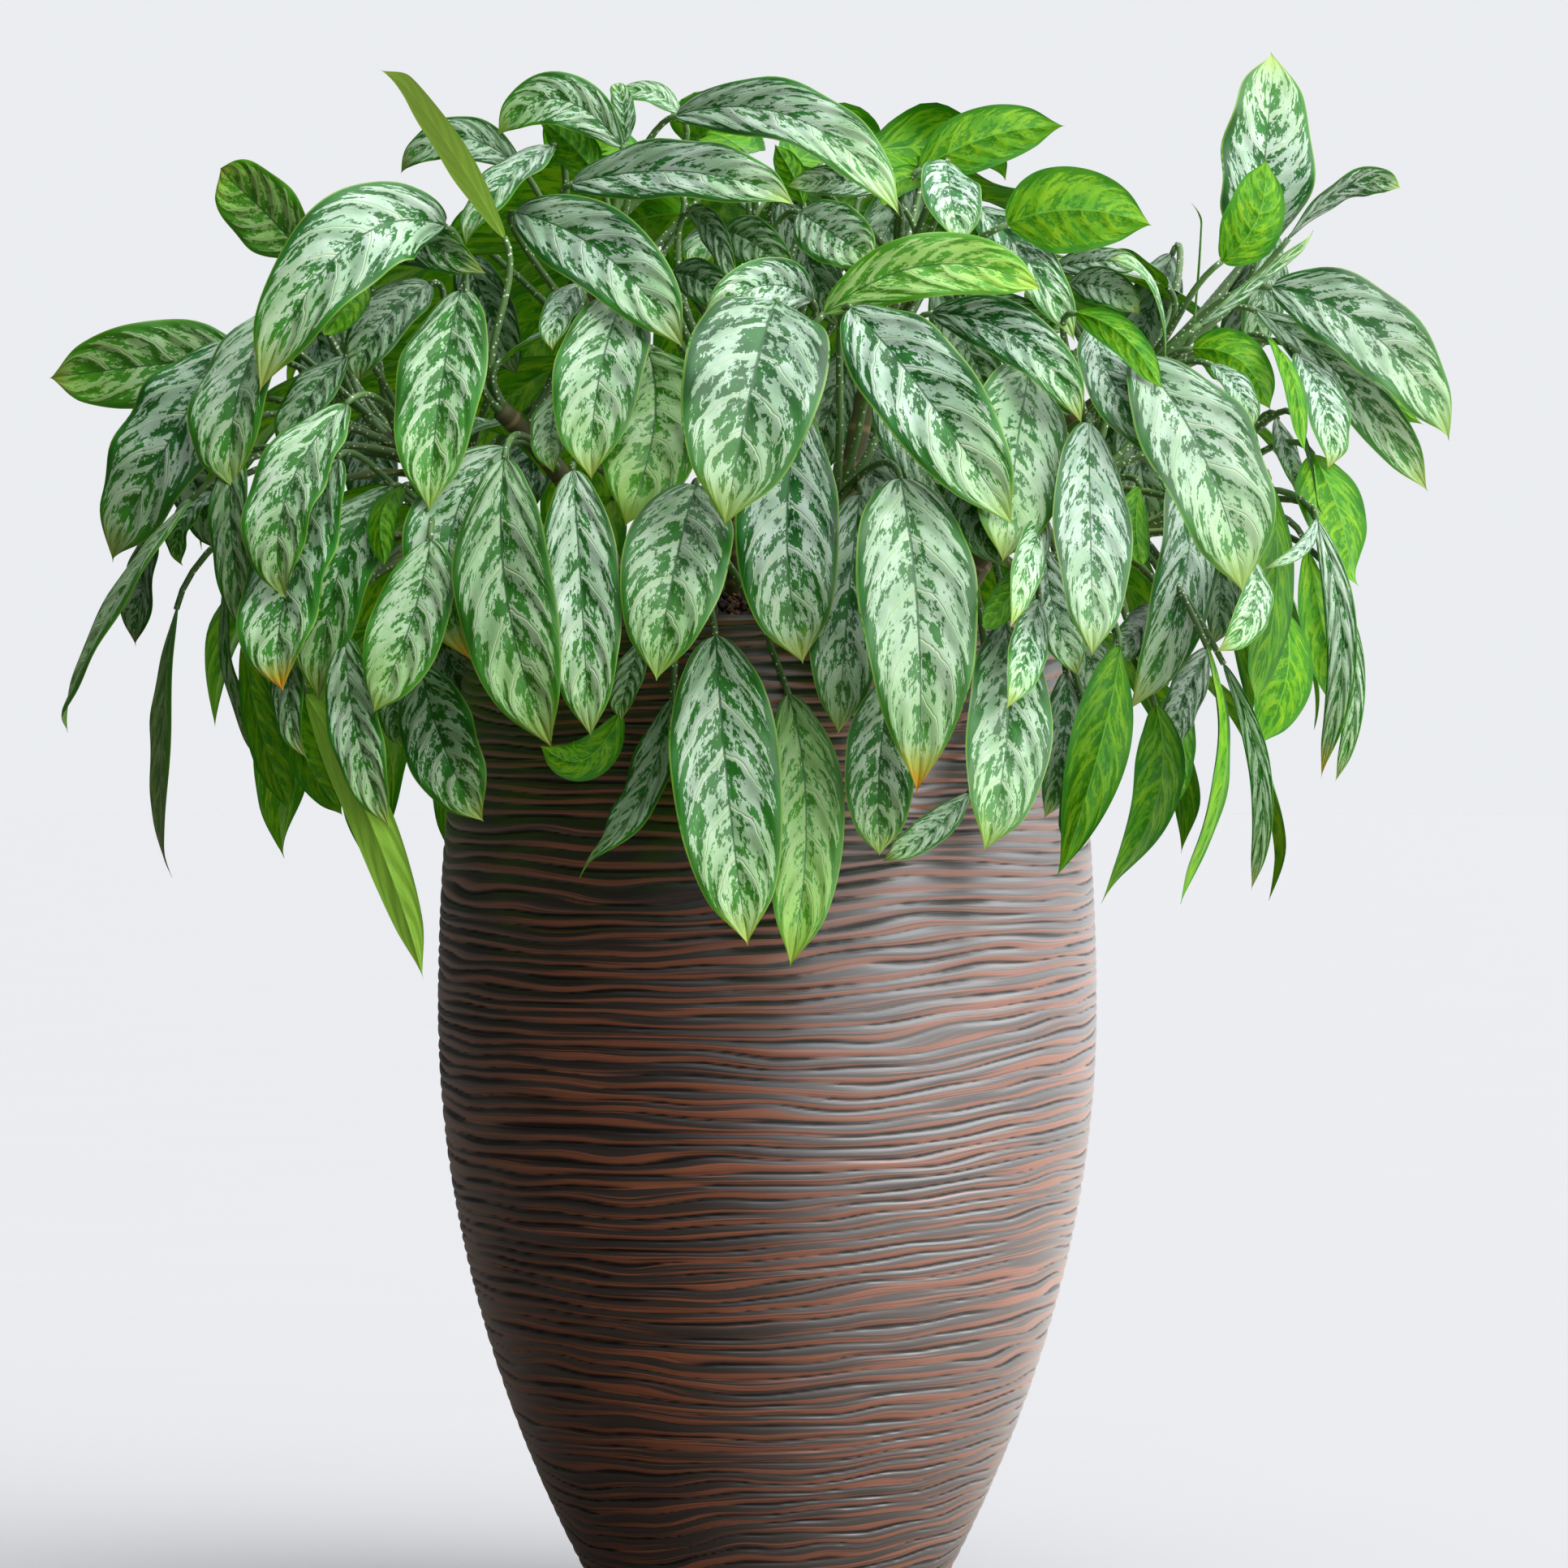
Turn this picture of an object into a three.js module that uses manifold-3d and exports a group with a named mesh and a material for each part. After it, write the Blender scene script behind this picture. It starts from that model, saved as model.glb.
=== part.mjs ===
// A potted Chinese evergreen: a tall ribbed planter, the soil in it, and seventeen leafy canes that stand in the
// soil and hang their leaves over the rim. Millimetres, +Z up, the pot's axis is Z and the plant's front faces -Y.
//
// Each cane is one body with its leaf stalks and leaves, as it grew. A leaf and its stalk are one thin loft with a
// rhombic section: left edge, upper face, right edge, lower face. Leaves of the front are laid one over another, the
// rearmost first, and each bends clear of those under it. Leaves of the back follow a rule in rows.
import * as THREE from "three";
import { mergeVertices } from "three/addons/utils/BufferGeometryUtils.js";
import Module from "manifold-3d";

const wasm = await Module();
wasm.setup();

// ---------------------------------------------------------------- driving dimensions

const POT = {
  height: 612,
  baseRadius: 95,
  widestRadius: 200.5, // of the wall under the ribs
  widestHeight: 375,
  rimRadius: 180,
  wall: 9,
  floor: 14,
  insideHeights: [480, 360, 200],
  ribs: 28,
  ribHeight: 2.8,
  leafRoom: 5, // between the ribs and what may hang over them
  sides: 22,
};
const SOIL = { crown: 632, edge: 592, gap: 0.3, holeGap: 0.5, sides: 22 };
const CANE = { footRadius: 7.5, topRadius: 6, sunk: 55, stiffHeight: 665, sides: 6 };
const STALK = { radius: 2.3, arch: 0.42, reach: 0.3, lowest: 0.74, highest: 0.99 };
const BLADE = { ridge: 1.4, face: 0.4, fold: 0.2, bow: 0.1, mostHalfWidth: 45 };

// The half width of a blade along its length, as a share of the widest, and the stations that the solid uses.
const OUTLINE = [
  [0, 0.05], [0.1, 0.6], [0.24, 0.91], [0.4, 1], [0.58, 0.94], [0.74, 0.75], [0.87, 0.46], [0.96, 0.17], [1, 0],
];
const BLADE_STATIONS = [0.1, 0.36, 0.64, 0.87];
const NARROW_STATIONS = [0.12, 0.5, 0.84]; // of a blade under 22 mm in half width, and of those at the back
const STALK_STATIONS = [0.5];

// Where the front of the plant is seen from. A leaf's place is given as across and up on the plane through the
// pot's axis, and moving it nearer slides it along the line of sight, so that it keeps its place in that view.
const EYE = { away: 4500, up: 530 };

// The rounded shape that the foliage fills: how near the viewer a leaf lies, before it is laid over others.
const DOME = { middle: 620, halfWidth: 430, above: 320, below: 640, depth: 235, turn: 42 };
const LAYER = { cell: 8, gap: 5, mostLift: 70, baseShare: 0.3 };

// Crowns, where the stalks of a cane spring: across, up, nearness to the front of the pot's axis, and how far out
// the foot of the cane stands, as a share of that.
const CROWNS = [
  [-164, 742, 120, 0.45], [-236, 724, 70, 0.35], [246, 776, 30, 0.28], [42, 690, 150, 0.5],
  [205, 700, 95, 0.45], [-118, 838, 10, 0.4], [82, 838, 10, 0.4], [-38, 790, 80, 0.4], [-58, 668, 160, 0.55],
  [128, 664, 130, 0.6], [-196, 664, 95, 0.62], [232, 664, 40, 0.55], [196, 700, -110, 0.5],
  [90, 690, -190, 0.45], [-70, 690, -195, 0.45], [-190, 700, -115, 0.5], [0, 780, -90, 0.4],
];

// Leaves of the front. Each row: layer (a higher one lies nearer), base across and up, middle across and up,
// tip across and up, seen width, and turn about the midrib in degrees (past 90 the underside shows).
const FRONT_LEAVES = [
  // far left, out over the side
  [2, -323, 776, -380, 770, -444, 762, 54, 0], [3, -328, 784, -367, 725, -408, 649, 58, 0],
  [5, -293, 812, -323, 762, -331, 694, 60, 0], [4, -284, 836, -311, 866, -340, 892, 44, 0],
  [2, -380, 675, -385, 635, -391, 597, 20, 20], [4, -355, 687, -403, 620, -438, 546, 20, 50],
  [3, -342, 692, -360, 672, -362, 646, 18, 20], [4, -364, 620, -373, 545, -373, 454, 15, 50],
  // upper left
  [8, -199, 856, -260, 842, -315, 754, 60, 0], [6, -248, 840, -213, 845, -177, 826, 30, 10],
  [3, -153, 892, -192, 910, -229, 889, 28, 0], [9, -162, 849, -196, 905, -232, 954, 16, 120],
  [6, -90, 905, -130, 934, -168, 911, 34, 0], [5, -133, 905, -163, 882, -188, 845, 30, 30],
  [4, -260, 775, -285, 745, -295, 711, 28, 0], [2, -208, 820, -238, 795, -253, 760, 34, 0],
  [3, -248, 820, -260, 805, -273, 787, 22, 180],
  [3, -105, 887, -120, 905, -138, 920, 26, 180],
  // top
  [3, -54, 925, -75, 939, -98, 931, 14, 50], [4, -88, 907, -89, 930, -95, 946, 14, 30],
  [8, -56, 924, 20, 921, 83, 864, 46, 0], [9, -120, 882, -48, 889, 17, 870, 44, 0],
  [11, -155, 864, -100, 838, -52, 782, 54, 0], [6, -50, 864, -33, 852, -20, 819, 20, 30],
  [5, -26, 852, -8, 845, 17, 822, 30, 0], [5, 20, 864, 42, 850, 66, 834, 40, 0],
  [4, 70, 878, 42, 884, 12, 880, 20, 0], [3, 102, 883, 82, 884, 70, 865, 17, 180],
  [2, 22, 870, 15, 888, 5, 905, 18, 180], [5, -58, 827, -38, 820, -20, 800, 26, 0],
  [4, -115, 820, -128, 802, -133, 780, 22, 0],
  // upper right
  [5, 95, 891, 136, 911, 179, 917, 38, 180], [7, 111, 895, 113, 875, 120, 845, 38, 0],
  [7, 148, 857, 190, 866, 236, 856, 54, 180], [11, 35, 802, 102, 832, 171, 816, 40, 0],
  [6, 130, 867, 160, 835, 190, 785, 32, 0], [3, 177, 830, 205, 834, 232, 831, 18, 0],
  [4, 187, 820, 210, 817, 230, 802, 24, 0], [6, 245, 775, 237, 820, 210, 838, 12, 60],
  [12, 190, 802, 220, 787, 242, 754, 22, 180], [5, 122, 814, 152, 802, 187, 792, 22, 0],
  [10, 102, 802, 157, 785, 195, 735, 36, 0],
  // the crown that stands out at the right
  [5, 301, 838, 306, 895, 313, 964, 57, 0], [8, 280, 834, 302, 861, 306, 896, 38, 180],
  [5, 321, 848, 359, 881, 391, 878, 14, 30], [6, 263, 795, 266, 830, 268, 869, 5, 60],
  [7, 267, 795, 302, 822, 340, 852, 9, 30], [9, 311, 818, 373, 789, 424, 724, 50, 0],
  [6, 347, 775, 374, 756, 401, 733, 16, 180], [7, 302, 803, 357, 759, 408, 691, 30, 0],
  [7, 327, 777, 343, 745, 348, 706, 28, 0], [8, 309, 786, 324, 760, 329, 715, 14, 180],
  [6, 262, 780, 292, 772, 308, 742, 34, 180], [7, 274, 770, 290, 755, 300, 730, 18, 0],
  // right side, hanging
  [12, 227, 775, 267, 717, 295, 630, 68, 0], [8, 202, 795, 215, 755, 250, 712, 36, 0],
  [4, 314, 737, 320, 715, 327, 695, 16, 0], [4, 336, 715, 353, 675, 359, 634, 44, 180],
  [6, 326, 737, 336, 707, 339, 677, 13, 130], [8, 338, 675, 354, 595, 338, 516, 20, 50],
  [6, 352, 632, 362, 570, 349, 512, 13, 40], [5, 333, 655, 344, 600, 356, 557, 24, 180],
  [8, 338, 675, 329, 657, 308, 646, 9, 20], [7, 309, 700, 313, 630, 297, 561, 28, 180],
  [5, 317, 620, 320, 580, 303, 537, 38, 180], [6, 279, 675, 279, 635, 277, 597, 26, 0],
  [7, 299, 650, 299, 620, 278, 593, 24, 0], [7, 281, 586, 304, 515, 297, 446, 14, 60],
  [8, 271, 596, 281, 520, 251, 440, 17, 130], [9, 239, 560, 239, 500, 203, 441, 34, 180],
  [6, 257, 570, 249, 530, 247, 495, 32, 180], [7, 272, 595, 254, 560, 247, 530, 24, 0],
  [6, 242, 622, 227, 605, 212, 590, 24, 0], [5, 229, 695, 227, 670, 231, 645, 20, 180],
  [11, 256, 711, 257, 640, 225, 555, 40, 0], [11, 217, 596, 205, 535, 180, 454, 36, 180],
  // front, right of the middle
  [12, 52, 805, 97, 752, 152, 671, 64, 0], [8, 162, 771, 153, 715, 146, 650, 64, 0],
  [10, 198, 734, 199, 665, 201, 591, 50, 0], [9, 172, 675, 161, 650, 152, 610, 22, 0],
  [8, 158, 645, 147, 625, 131, 607, 20, 180], [8, 167, 625, 160, 595, 151, 562, 26, 0],
  [7, 172, 655, 177, 617, 193, 579, 30, 0], [14, 82, 700, 93, 610, 93, 506, 74, 0],
  [7, 124, 707, 129, 677, 148, 647, 36, 0], [4, 67, 755, 92, 715, 117, 675, 32, 0],
  [9, 57, 690, 49, 615, 44, 542, 50, 0], [10, 77, 577, 69, 522, 70, 467, 44, 0],
  [8, 124, 506, 99, 482, 72, 466, 20, 20], [10, 147, 610, 148, 545, 135, 471, 54, 0],
  [8, 197, 530, 191, 500, 187, 469, 25, 0], [6, 184, 580, 182, 535, 172, 490, 26, 0],
  // front, middle and left of it
  [13, 5, 809, -9, 760, -26, 671, 88, 0], [10, 27, 810, -3, 819, -40, 798, 34, 0],
  [12, 20, 742, 12, 665, 22, 586, 64, 0], [11, -44, 696, -57, 645, -69, 576, 66, 0],
  [6, -73, 777, -70, 730, -88, 672, 64, 0], [7, -86, 817, -103, 765, -109, 700, 56, 0],
  [11, -189, 816, -201, 755, -209, 680, 54, 0], [9, -162, 719, -195, 665, -184, 587, 56, 0],
  [12, -162, 712, -160, 625, -133, 533, 62, 0], [8, -120, 705, -114, 622, -110, 540, 50, 0],
  [6, -128, 755, -133, 730, -133, 706, 26, 0], [6, -78, 600, -86, 575, -91, 552, 20, 20],
  [9, -59, 564, -80, 500, -119, 459, 30, 40], [13, -32, 603, -24, 507, -12, 412, 68, 0],
  [12, 13, 567, 24, 490, 14, 399, 47, 0], [5, -91, 555, -113, 527, -140, 537, 26, 180],
  // front left, hanging low
  [10, -260, 746, -296, 690, -299, 626, 47, 0], [8, -265, 712, -295, 637, -301, 570, 54, 0],
  [7, -233, 695, -263, 645, -279, 562, 48, 0], [5, -328, 725, -330, 665, -318, 595, 26, 0],
  [3, -334, 642, -328, 570, -303, 522, 17, 40], [3, -323, 600, -310, 540, -292, 497, 24, 180],
  [3, -293, 570, -285, 530, -260, 493, 26, 180], [6, -284, 567, -245, 490, -211, 392, 28, 180],
  [7, -260, 602, -253, 545, -234, 484, 34, 0], [9, -208, 662, -220, 610, -244, 555, 48, 0],
  [8, -213, 582, -200, 537, -177, 488, 48, 0], [5, -290, 625, -295, 575, -288, 529, 24, 0],
  [8, -225, 695, -238, 675, -233, 645, 20, 180], [5, -223, 585, -230, 560, -226, 535, 18, 0],
];

// Leaves of the back, in rows from the lowest: how many, how many degrees they spread to each side of straight
// back, and the height and radius of their bases and tips.
const BACK_ROWS = [
  { count: 9, spread: 80, base: [610, 205], tip: [455, 272] },
  { count: 10, spread: 90, base: [695, 190], tip: [550, 292] },
  { count: 9, spread: 92, base: [772, 160], tip: [645, 290] },
  { count: 8, spread: 92, base: [836, 110], tip: [748, 250] },
  { count: 6, spread: 80, base: [872, 60], tip: [818, 190] },
  { count: 4, spread: 80, base: [900, 40], tip: [905, 140] },
];
const BACK = { width: 60, turn: 12, bow: 0.16, acrossScale: 1.22, seed: 23 };

// From every second crown one leaf arches in over the middle of the plant, past one side of the axis or the other.
const INNER = { rise: 30, step: 12, aside: 28, reach: 100, drop: 12, bow: 0.22, halfWidth: 24 };

// ---------------------------------------------------------------- small helpers

const UP = new THREE.Vector3(0, 0, 1);
const mix = THREE.MathUtils.lerp;
const radians = THREE.MathUtils.degToRad;

// Evenly spread numbers from 0 to 1, the same on every run.
function seeded(seed) {
  let state = seed;
  return () => {
    state = (state * 16807) % 2147483647;
    return state / 2147483647;
  };
}

// A closed skin over rings of points, with one point at each end. Neighbouring panels take mirrored diagonals, so
// the two faces of a blade are split alike.
function skin(first, rings, last) {
  const sides = rings[0].length;
  const points = [first, ...rings.flat(), last];
  const index = [];
  const at = (ring, side) => 1 + ring * sides + (side % sides);
  for (let side = 0; side < sides; side++) {
    index.push(0, at(0, side + 1), at(0, side));
    index.push(points.length - 1, at(rings.length - 1, side), at(rings.length - 1, side + 1));
    for (let ring = 0; ring < rings.length - 1; ring++) {
      const [a, b] = [at(ring, side), at(ring, side + 1)];
      const [c, d] = [at(ring + 1, side + 1), at(ring + 1, side)];
      if (side % 2 === 0) index.push(a, b, c, a, c, d);
      else index.push(a, b, d, b, c, d);
    }
  }
  const geometry = new THREE.BufferGeometry().setFromPoints(points);
  return geometry.setIndex(index);
}

function toSolid(geometry) {
  const merged = mergeVertices(geometry, 1e-4);
  const triVerts = new Uint32Array(merged.index.array);
  const solid = new wasm.Manifold(
    new wasm.Mesh({ numProp: 3, vertProperties: merged.attributes.position.array, triVerts }),
  );
  if (solid.volume() > 0) return solid;
  triVerts.reverse();
  return new wasm.Manifold(
    new wasm.Mesh({ numProp: 3, vertProperties: merged.attributes.position.array, triVerts }),
  );
}

function toMesh(name, solid, material) {
  const mesh = solid.getMesh();
  const geometry = new THREE.BufferGeometry();
  const positions = new Float32Array(mesh.numVert * 3);
  for (let i = 0; i < mesh.numVert; i++) {
    positions.set(mesh.vertProperties.subarray(i * mesh.numProp, i * mesh.numProp + 3), i * 3);
  }
  geometry.setAttribute("position", new THREE.BufferAttribute(positions, 3));
  geometry.setIndex(new THREE.BufferAttribute(mesh.triVerts, 1));
  geometry.computeVertexNormals();
  const made = new THREE.Mesh(geometry, material);
  made.name = name;
  return made;
}

function ringAround(centre, axis, radius, sides) {
  const side = new THREE.Vector3(1, 0, 0).addScaledVector(axis, -axis.x).normalize();
  const other = new THREE.Vector3().crossVectors(axis, side);
  return Array.from({ length: sides }, (_, i) => {
    const angle = (2 * Math.PI * i) / sides;
    return centre.clone()
      .addScaledVector(side, radius * Math.cos(angle))
      .addScaledVector(other, radius * Math.sin(angle));
  });
}

// ---------------------------------------------------------------- planter and soil

// The radius of the wall under the ribs: one parabola below the widest place and one above it.
function potRadius(height) {
  const below = height < POT.widestHeight;
  const end = below ? POT.baseRadius : POT.rimRadius;
  const reach = below ? POT.widestHeight : POT.height - POT.widestHeight;
  return POT.widestRadius - (POT.widestRadius - end) * ((height - POT.widestHeight) / reach) ** 2;
}

function levelRing(radius, height, sides) {
  return Array.from({ length: sides }, (_, i) => {
    const angle = (2 * Math.PI * i) / sides;
    return new THREE.Vector3(radius * Math.cos(angle), radius * Math.sin(angle), height);
  });
}

// A rib's ridge or the groove under it: wavering in height and depth, as if combed by hand.
function ribRing(row, rows) {
  const level = POT.height * (row + 0.5) / rows;
  const ridge = row % 2;
  return Array.from({ length: POT.sides }, (_, i) => {
    const angle = (2 * Math.PI * i) / POT.sides;
    const waver = Math.sin(3 * angle + row * 1.3) + Math.sin(5 * angle - row * 0.7);
    const height = level + 1.2 * waver;
    const radius = potRadius(height) + ridge * POT.ribHeight * (0.75 + 0.12 * waver);
    return new THREE.Vector3(radius * Math.cos(angle), radius * Math.sin(angle), height);
  });
}

function planter() {
  const rows = 2 * POT.ribs;
  const inside = (height) => levelRing(potRadius(height) - POT.wall, height, POT.sides);
  const rings = [
    levelRing(POT.baseRadius - 3, 0, POT.sides),
    ...Array.from({ length: rows }, (_, row) => ribRing(row, rows)),
    levelRing(POT.rimRadius, POT.height - 1, POT.sides),
    levelRing(POT.rimRadius - POT.wall / 2, POT.height, POT.sides),
    ...[POT.height - 4, SOIL.edge, ...POT.insideHeights, POT.floor].map(inside),
  ];
  return toSolid(skin(new THREE.Vector3(0, 0, 0), rings, new THREE.Vector3(0, 0, POT.floor)));
}

// The whole space that the planter takes up, as room for the leaves that hang over its rim.
function planterRoom() {
  const around = (height) => levelRing(potRadius(height) + POT.ribHeight + 1, height, POT.sides);
  const rings = [...POT.insideHeights.toReversed(), POT.height + 1].map(around);
  return toSolid(skin(new THREE.Vector3(0, 0, 100), rings, new THREE.Vector3(0, 0, POT.height + 1)));
}

// The soil fills the planter from its floor, and is heaped up round the canes.
function soilHeap() {
  const clear = POT.wall + SOIL.gap;
  const inside = (height) => levelRing(potRadius(height) - clear, height, SOIL.sides);
  const edge = potRadius(SOIL.edge) - clear;
  const heap = [0.75, 0.45].map((share) =>
    levelRing(edge * share, mix(SOIL.crown, SOIL.edge, share ** 2), SOIL.sides),
  );
  const floor = POT.floor + SOIL.gap;
  const rings = [...[floor, ...POT.insideHeights.toReversed(), SOIL.edge].map(inside), ...heap];
  return toSolid(skin(new THREE.Vector3(0, 0, floor), rings, new THREE.Vector3(0, 0, SOIL.crown)));
}

// ---------------------------------------------------------------- canes

// A point as seen on the plane through the pot's axis, moved nearer by depth along the line of sight.
function seen(across, up, depth) {
  const scale = (EYE.away - depth) / EYE.away;
  return new THREE.Vector3(across * scale, -depth, EYE.up + (up - EYE.up) * scale);
}

// The reverse: where a point is seen, and how near it is.
function inView(point) {
  const scale = (EYE.away + point.y) / EYE.away;
  return { across: point.x / scale, up: EYE.up + (point.z - EYE.up) / scale, depth: -point.y };
}

const crowns = CROWNS.map(([across, up, depth, footShare]) => {
  const top = seen(across, up, depth);
  const foot = top.clone().multiplyScalar(footShare).setZ(SOIL.edge - CANE.sunk);
  const bend = top.clone().multiplyScalar(footShare + 0.04).setZ(Math.min(CANE.stiffHeight, top.z - 12));
  return { top, line: new THREE.QuadraticBezierCurve3(foot, bend, top) };
});

function cane(crown, extra = 0) {
  const steps = [0, 0.35, 0.7, 1];
  const rings = steps.map((t) => {
    const radius = mix(CANE.footRadius, CANE.topRadius, t) + extra;
    return ringAround(crown.line.getPoint(t), crown.line.getTangent(t), radius, CANE.sides);
  });
  const tip = crown.top.clone().addScaledVector(crown.line.getTangent(1), CANE.topRadius);
  const heel = crown.line.getPoint(0).add(new THREE.Vector3(0, 0, -3 - extra));
  return toSolid(skin(heel, rings, tip));
}

// ---------------------------------------------------------------- leaves

function halfWidthShare(t) {
  const next = OUTLINE.findIndex(([at]) => at >= t);
  if (next <= 0) return OUTLINE[0][1];
  const [[t0, w0], [t1, w1]] = [OUTLINE[next - 1], OUTLINE[next]];
  return mix(w0, w1, (t - t0) / (t1 - t0));
}

// A leaf's form: the curve of its midrib, its half width, the way it faces and its turn about the midrib. It is
// folded up along the midrib, less so where it is seen more from the side.
function leafForm(base, middle, tip, halfWidth, facing, turn) {
  const control = middle.clone().multiplyScalar(2).addScaledVector(base, -0.5).addScaledVector(tip, -0.5);
  const midrib = new THREE.QuadraticBezierCurve3(base, control, tip);
  const fold = BLADE.fold * Math.cos(radians(turn)) ** 2;
  return { midrib, halfWidth, facing, fold, turn: radians(turn) };
}

// The place, the direction across and the direction of the upper face at t along the midrib.
function leafFrame(form, t) {
  const along = form.midrib.getTangent(t);
  const across = new THREE.Vector3().crossVectors(form.facing, along).normalize();
  const face = new THREE.Vector3().crossVectors(along, across).normalize();
  across.applyAxisAngle(along, form.turn);
  face.applyAxisAngle(along, form.turn);
  return { place: form.midrib.getPoint(t), along, across, face };
}

function bladePoint(form, t, side) {
  const { place, across, face } = leafFrame(form, t);
  const reach = form.halfWidth * halfWidthShare(t) * side;
  return place.addScaledVector(across, reach).addScaledVector(face, Math.abs(reach) * form.fold);
}

function bladeRing(form, t, extra) {
  const { place, face } = leafFrame(form, t);
  const [left, right] = [bladePoint(form, t, -1), bladePoint(form, t, 1)];
  const sideways = right.clone().sub(left).normalize().multiplyScalar(extra);
  const thin = t > 0.8 ? 0.6 : 1;
  return [
    left.sub(sideways),
    place.clone().addScaledVector(face, BLADE.face + extra),
    right.add(sideways),
    place.clone().addScaledVector(face, -BLADE.ridge * thin - extra),
  ];
}

// The stalk's curve: up and out of the cane at rootAt along it, over, and into the blade in line with its midrib.
function stalkCurve(form, crown, rootAt) {
  const root = crown.line.getPoint(rootAt);
  const base = form.midrib.getPoint(0);
  const length = base.distanceTo(root);
  const sideways = base.clone().sub(root).setZ(0).setLength(0.8);
  const rise = crown.line.getTangent(1).add(UP).multiplyScalar(0.5).add(sideways).normalize();
  const out = root.clone().addScaledVector(rise, length * STALK.arch);
  const into = base.clone().addScaledVector(form.midrib.getTangent(0), -length * STALK.reach);
  return new THREE.CubicBezierCurve3(root, out, into, base);
}

// One leaf with its stalk, as a single loft. extra makes it fatter all over, as room for a neighbour.
function leafSolid(form, crown, rootAt, extra = 0) {
  const stalk = stalkCurve(form, crown, rootAt);
  const narrow = form.halfWidth < 22 || form.midrib.getPoint(0.5).y > 0;
  const ring = (centre, along) => {
    const across = new THREE.Vector3().crossVectors(form.facing, along).normalize();
    const face = new THREE.Vector3().crossVectors(along, across);
    const radius = STALK.radius + extra;
    across.applyAxisAngle(along, form.turn);
    face.applyAxisAngle(along, form.turn);
    return [
      centre.clone().addScaledVector(across, -radius),
      centre.clone().addScaledVector(face, radius),
      centre.clone().addScaledVector(across, radius),
      centre.clone().addScaledVector(face, -radius),
    ];
  };
  const rings = [
    ring(stalk.getPoint(0.02), stalk.getTangent(0.02)),
    ...STALK_STATIONS.map((t) => ring(stalk.getPoint(t), stalk.getTangent(t))),
    ring(form.midrib.getPoint(0), form.midrib.getTangent(0)),
    ...(narrow ? NARROW_STATIONS : BLADE_STATIONS).map((t) => bladeRing(form, t, extra)),
  ];
  const tip = form.midrib.getPoint(1).addScaledVector(form.midrib.getTangent(1), extra);
  return toSolid(skin(stalk.getPoint(0), rings, tip));
}

// ---------------------------------------------------------------- laying the front leaves over one another

const nearest = new Map(); // for each small square of the view, how near anything laid there comes
const square = (point) =>
  Math.round(point.across / LAYER.cell) * 4096 + Math.round(point.up / LAYER.cell);

function cover(point) {
  const spot = inView(point);
  nearest.set(square(spot), Math.max(spot.depth, nearest.get(square(spot)) ?? -Infinity));
}

for (let height = 0; height <= POT.height; height += 4) {
  for (let angle = -90; angle <= 90; angle += 1) {
    const radius = potRadius(height) + POT.ribHeight + POT.leafRoom;
    const sideways = Math.sin(radians(angle));
    cover(new THREE.Vector3(radius * sideways, -radius * Math.cos(radians(angle)), height));
  }
}

// Calls visit(point, t) for points spread over a blade.
function overBlade(form, visit) {
  for (let i = 0; i <= 24; i++) {
    for (let j = -4; j <= 4; j++) visit(bladePoint(form, i / 24, j / 4), i / 24);
  }
}

function domeDepth(across, up) {
  const high = (up - DOME.middle) / (up > DOME.middle ? DOME.above : DOME.below);
  return DOME.depth * Math.max(0, 1 - (across / DOME.halfWidth) ** 2 - high ** 2);
}

// A front leaf at its place in the view, lifted at the base and more towards the tip.
function frontForm(row, baseLift, tipLift) {
  const [, baseAcross, baseUp, middleAcross, middleUp, tipAcross, tipUp, width, turn] = row;
  const length = Math.hypot(tipAcross - baseAcross, tipUp - baseUp);
  const baseDepth = 0.8 * domeDepth(baseAcross, baseUp) + baseLift;
  const tipDepth = 0.95 * domeDepth(tipAcross, tipUp) + 12 + baseLift + tipLift;
  const middleDepth = (baseDepth + tipDepth) / 2 + BLADE.bow * length;
  const sideways = radians(DOME.turn * (middleAcross / DOME.halfWidth));
  const facing = new THREE.Vector3(Math.sin(sideways), -Math.cos(sideways), 0);
  const form = leafForm(
    seen(baseAcross, baseUp, baseDepth),
    seen(middleAcross, middleUp, middleDepth),
    seen(tipAcross, tipUp, tipDepth),
    1,
    facing,
    turn,
  );
  const [left, right] = [inView(bladePoint(form, 0.4, -1)), inView(bladePoint(form, 0.4, 1))];
  const seenWidth = Math.hypot(right.across - left.across, right.up - left.up);
  form.halfWidth = Math.min(BLADE.mostHalfWidth, width / seenWidth);
  return form;
}

// Finds how far a leaf has to lift to lie clear of all that is laid already: first at its base, then by tilting.
function layLeaf(row) {
  const shortfalls = [];
  overBlade(frontForm(row, 0, 0), (point, t) => {
    const spot = inView(point);
    const there = nearest.get(square(spot));
    if (there !== undefined) shortfalls.push({ t, need: there + LAYER.gap - spot.depth });
  });
  const most = (list) => Math.min(LAYER.mostLift, Math.max(0, ...list));
  const baseLift = most(shortfalls.filter((s) => s.t <= LAYER.baseShare).map((s) => s.need));
  const tipLift = most(
    shortfalls.filter((s) => s.t > LAYER.baseShare).map((s) => (s.need - baseLift) / s.t),
  );
  const form = frontForm(row, baseLift, tipLift);
  overBlade(form, cover);
  return form;
}

// ---------------------------------------------------------------- leaves of the back

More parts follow.
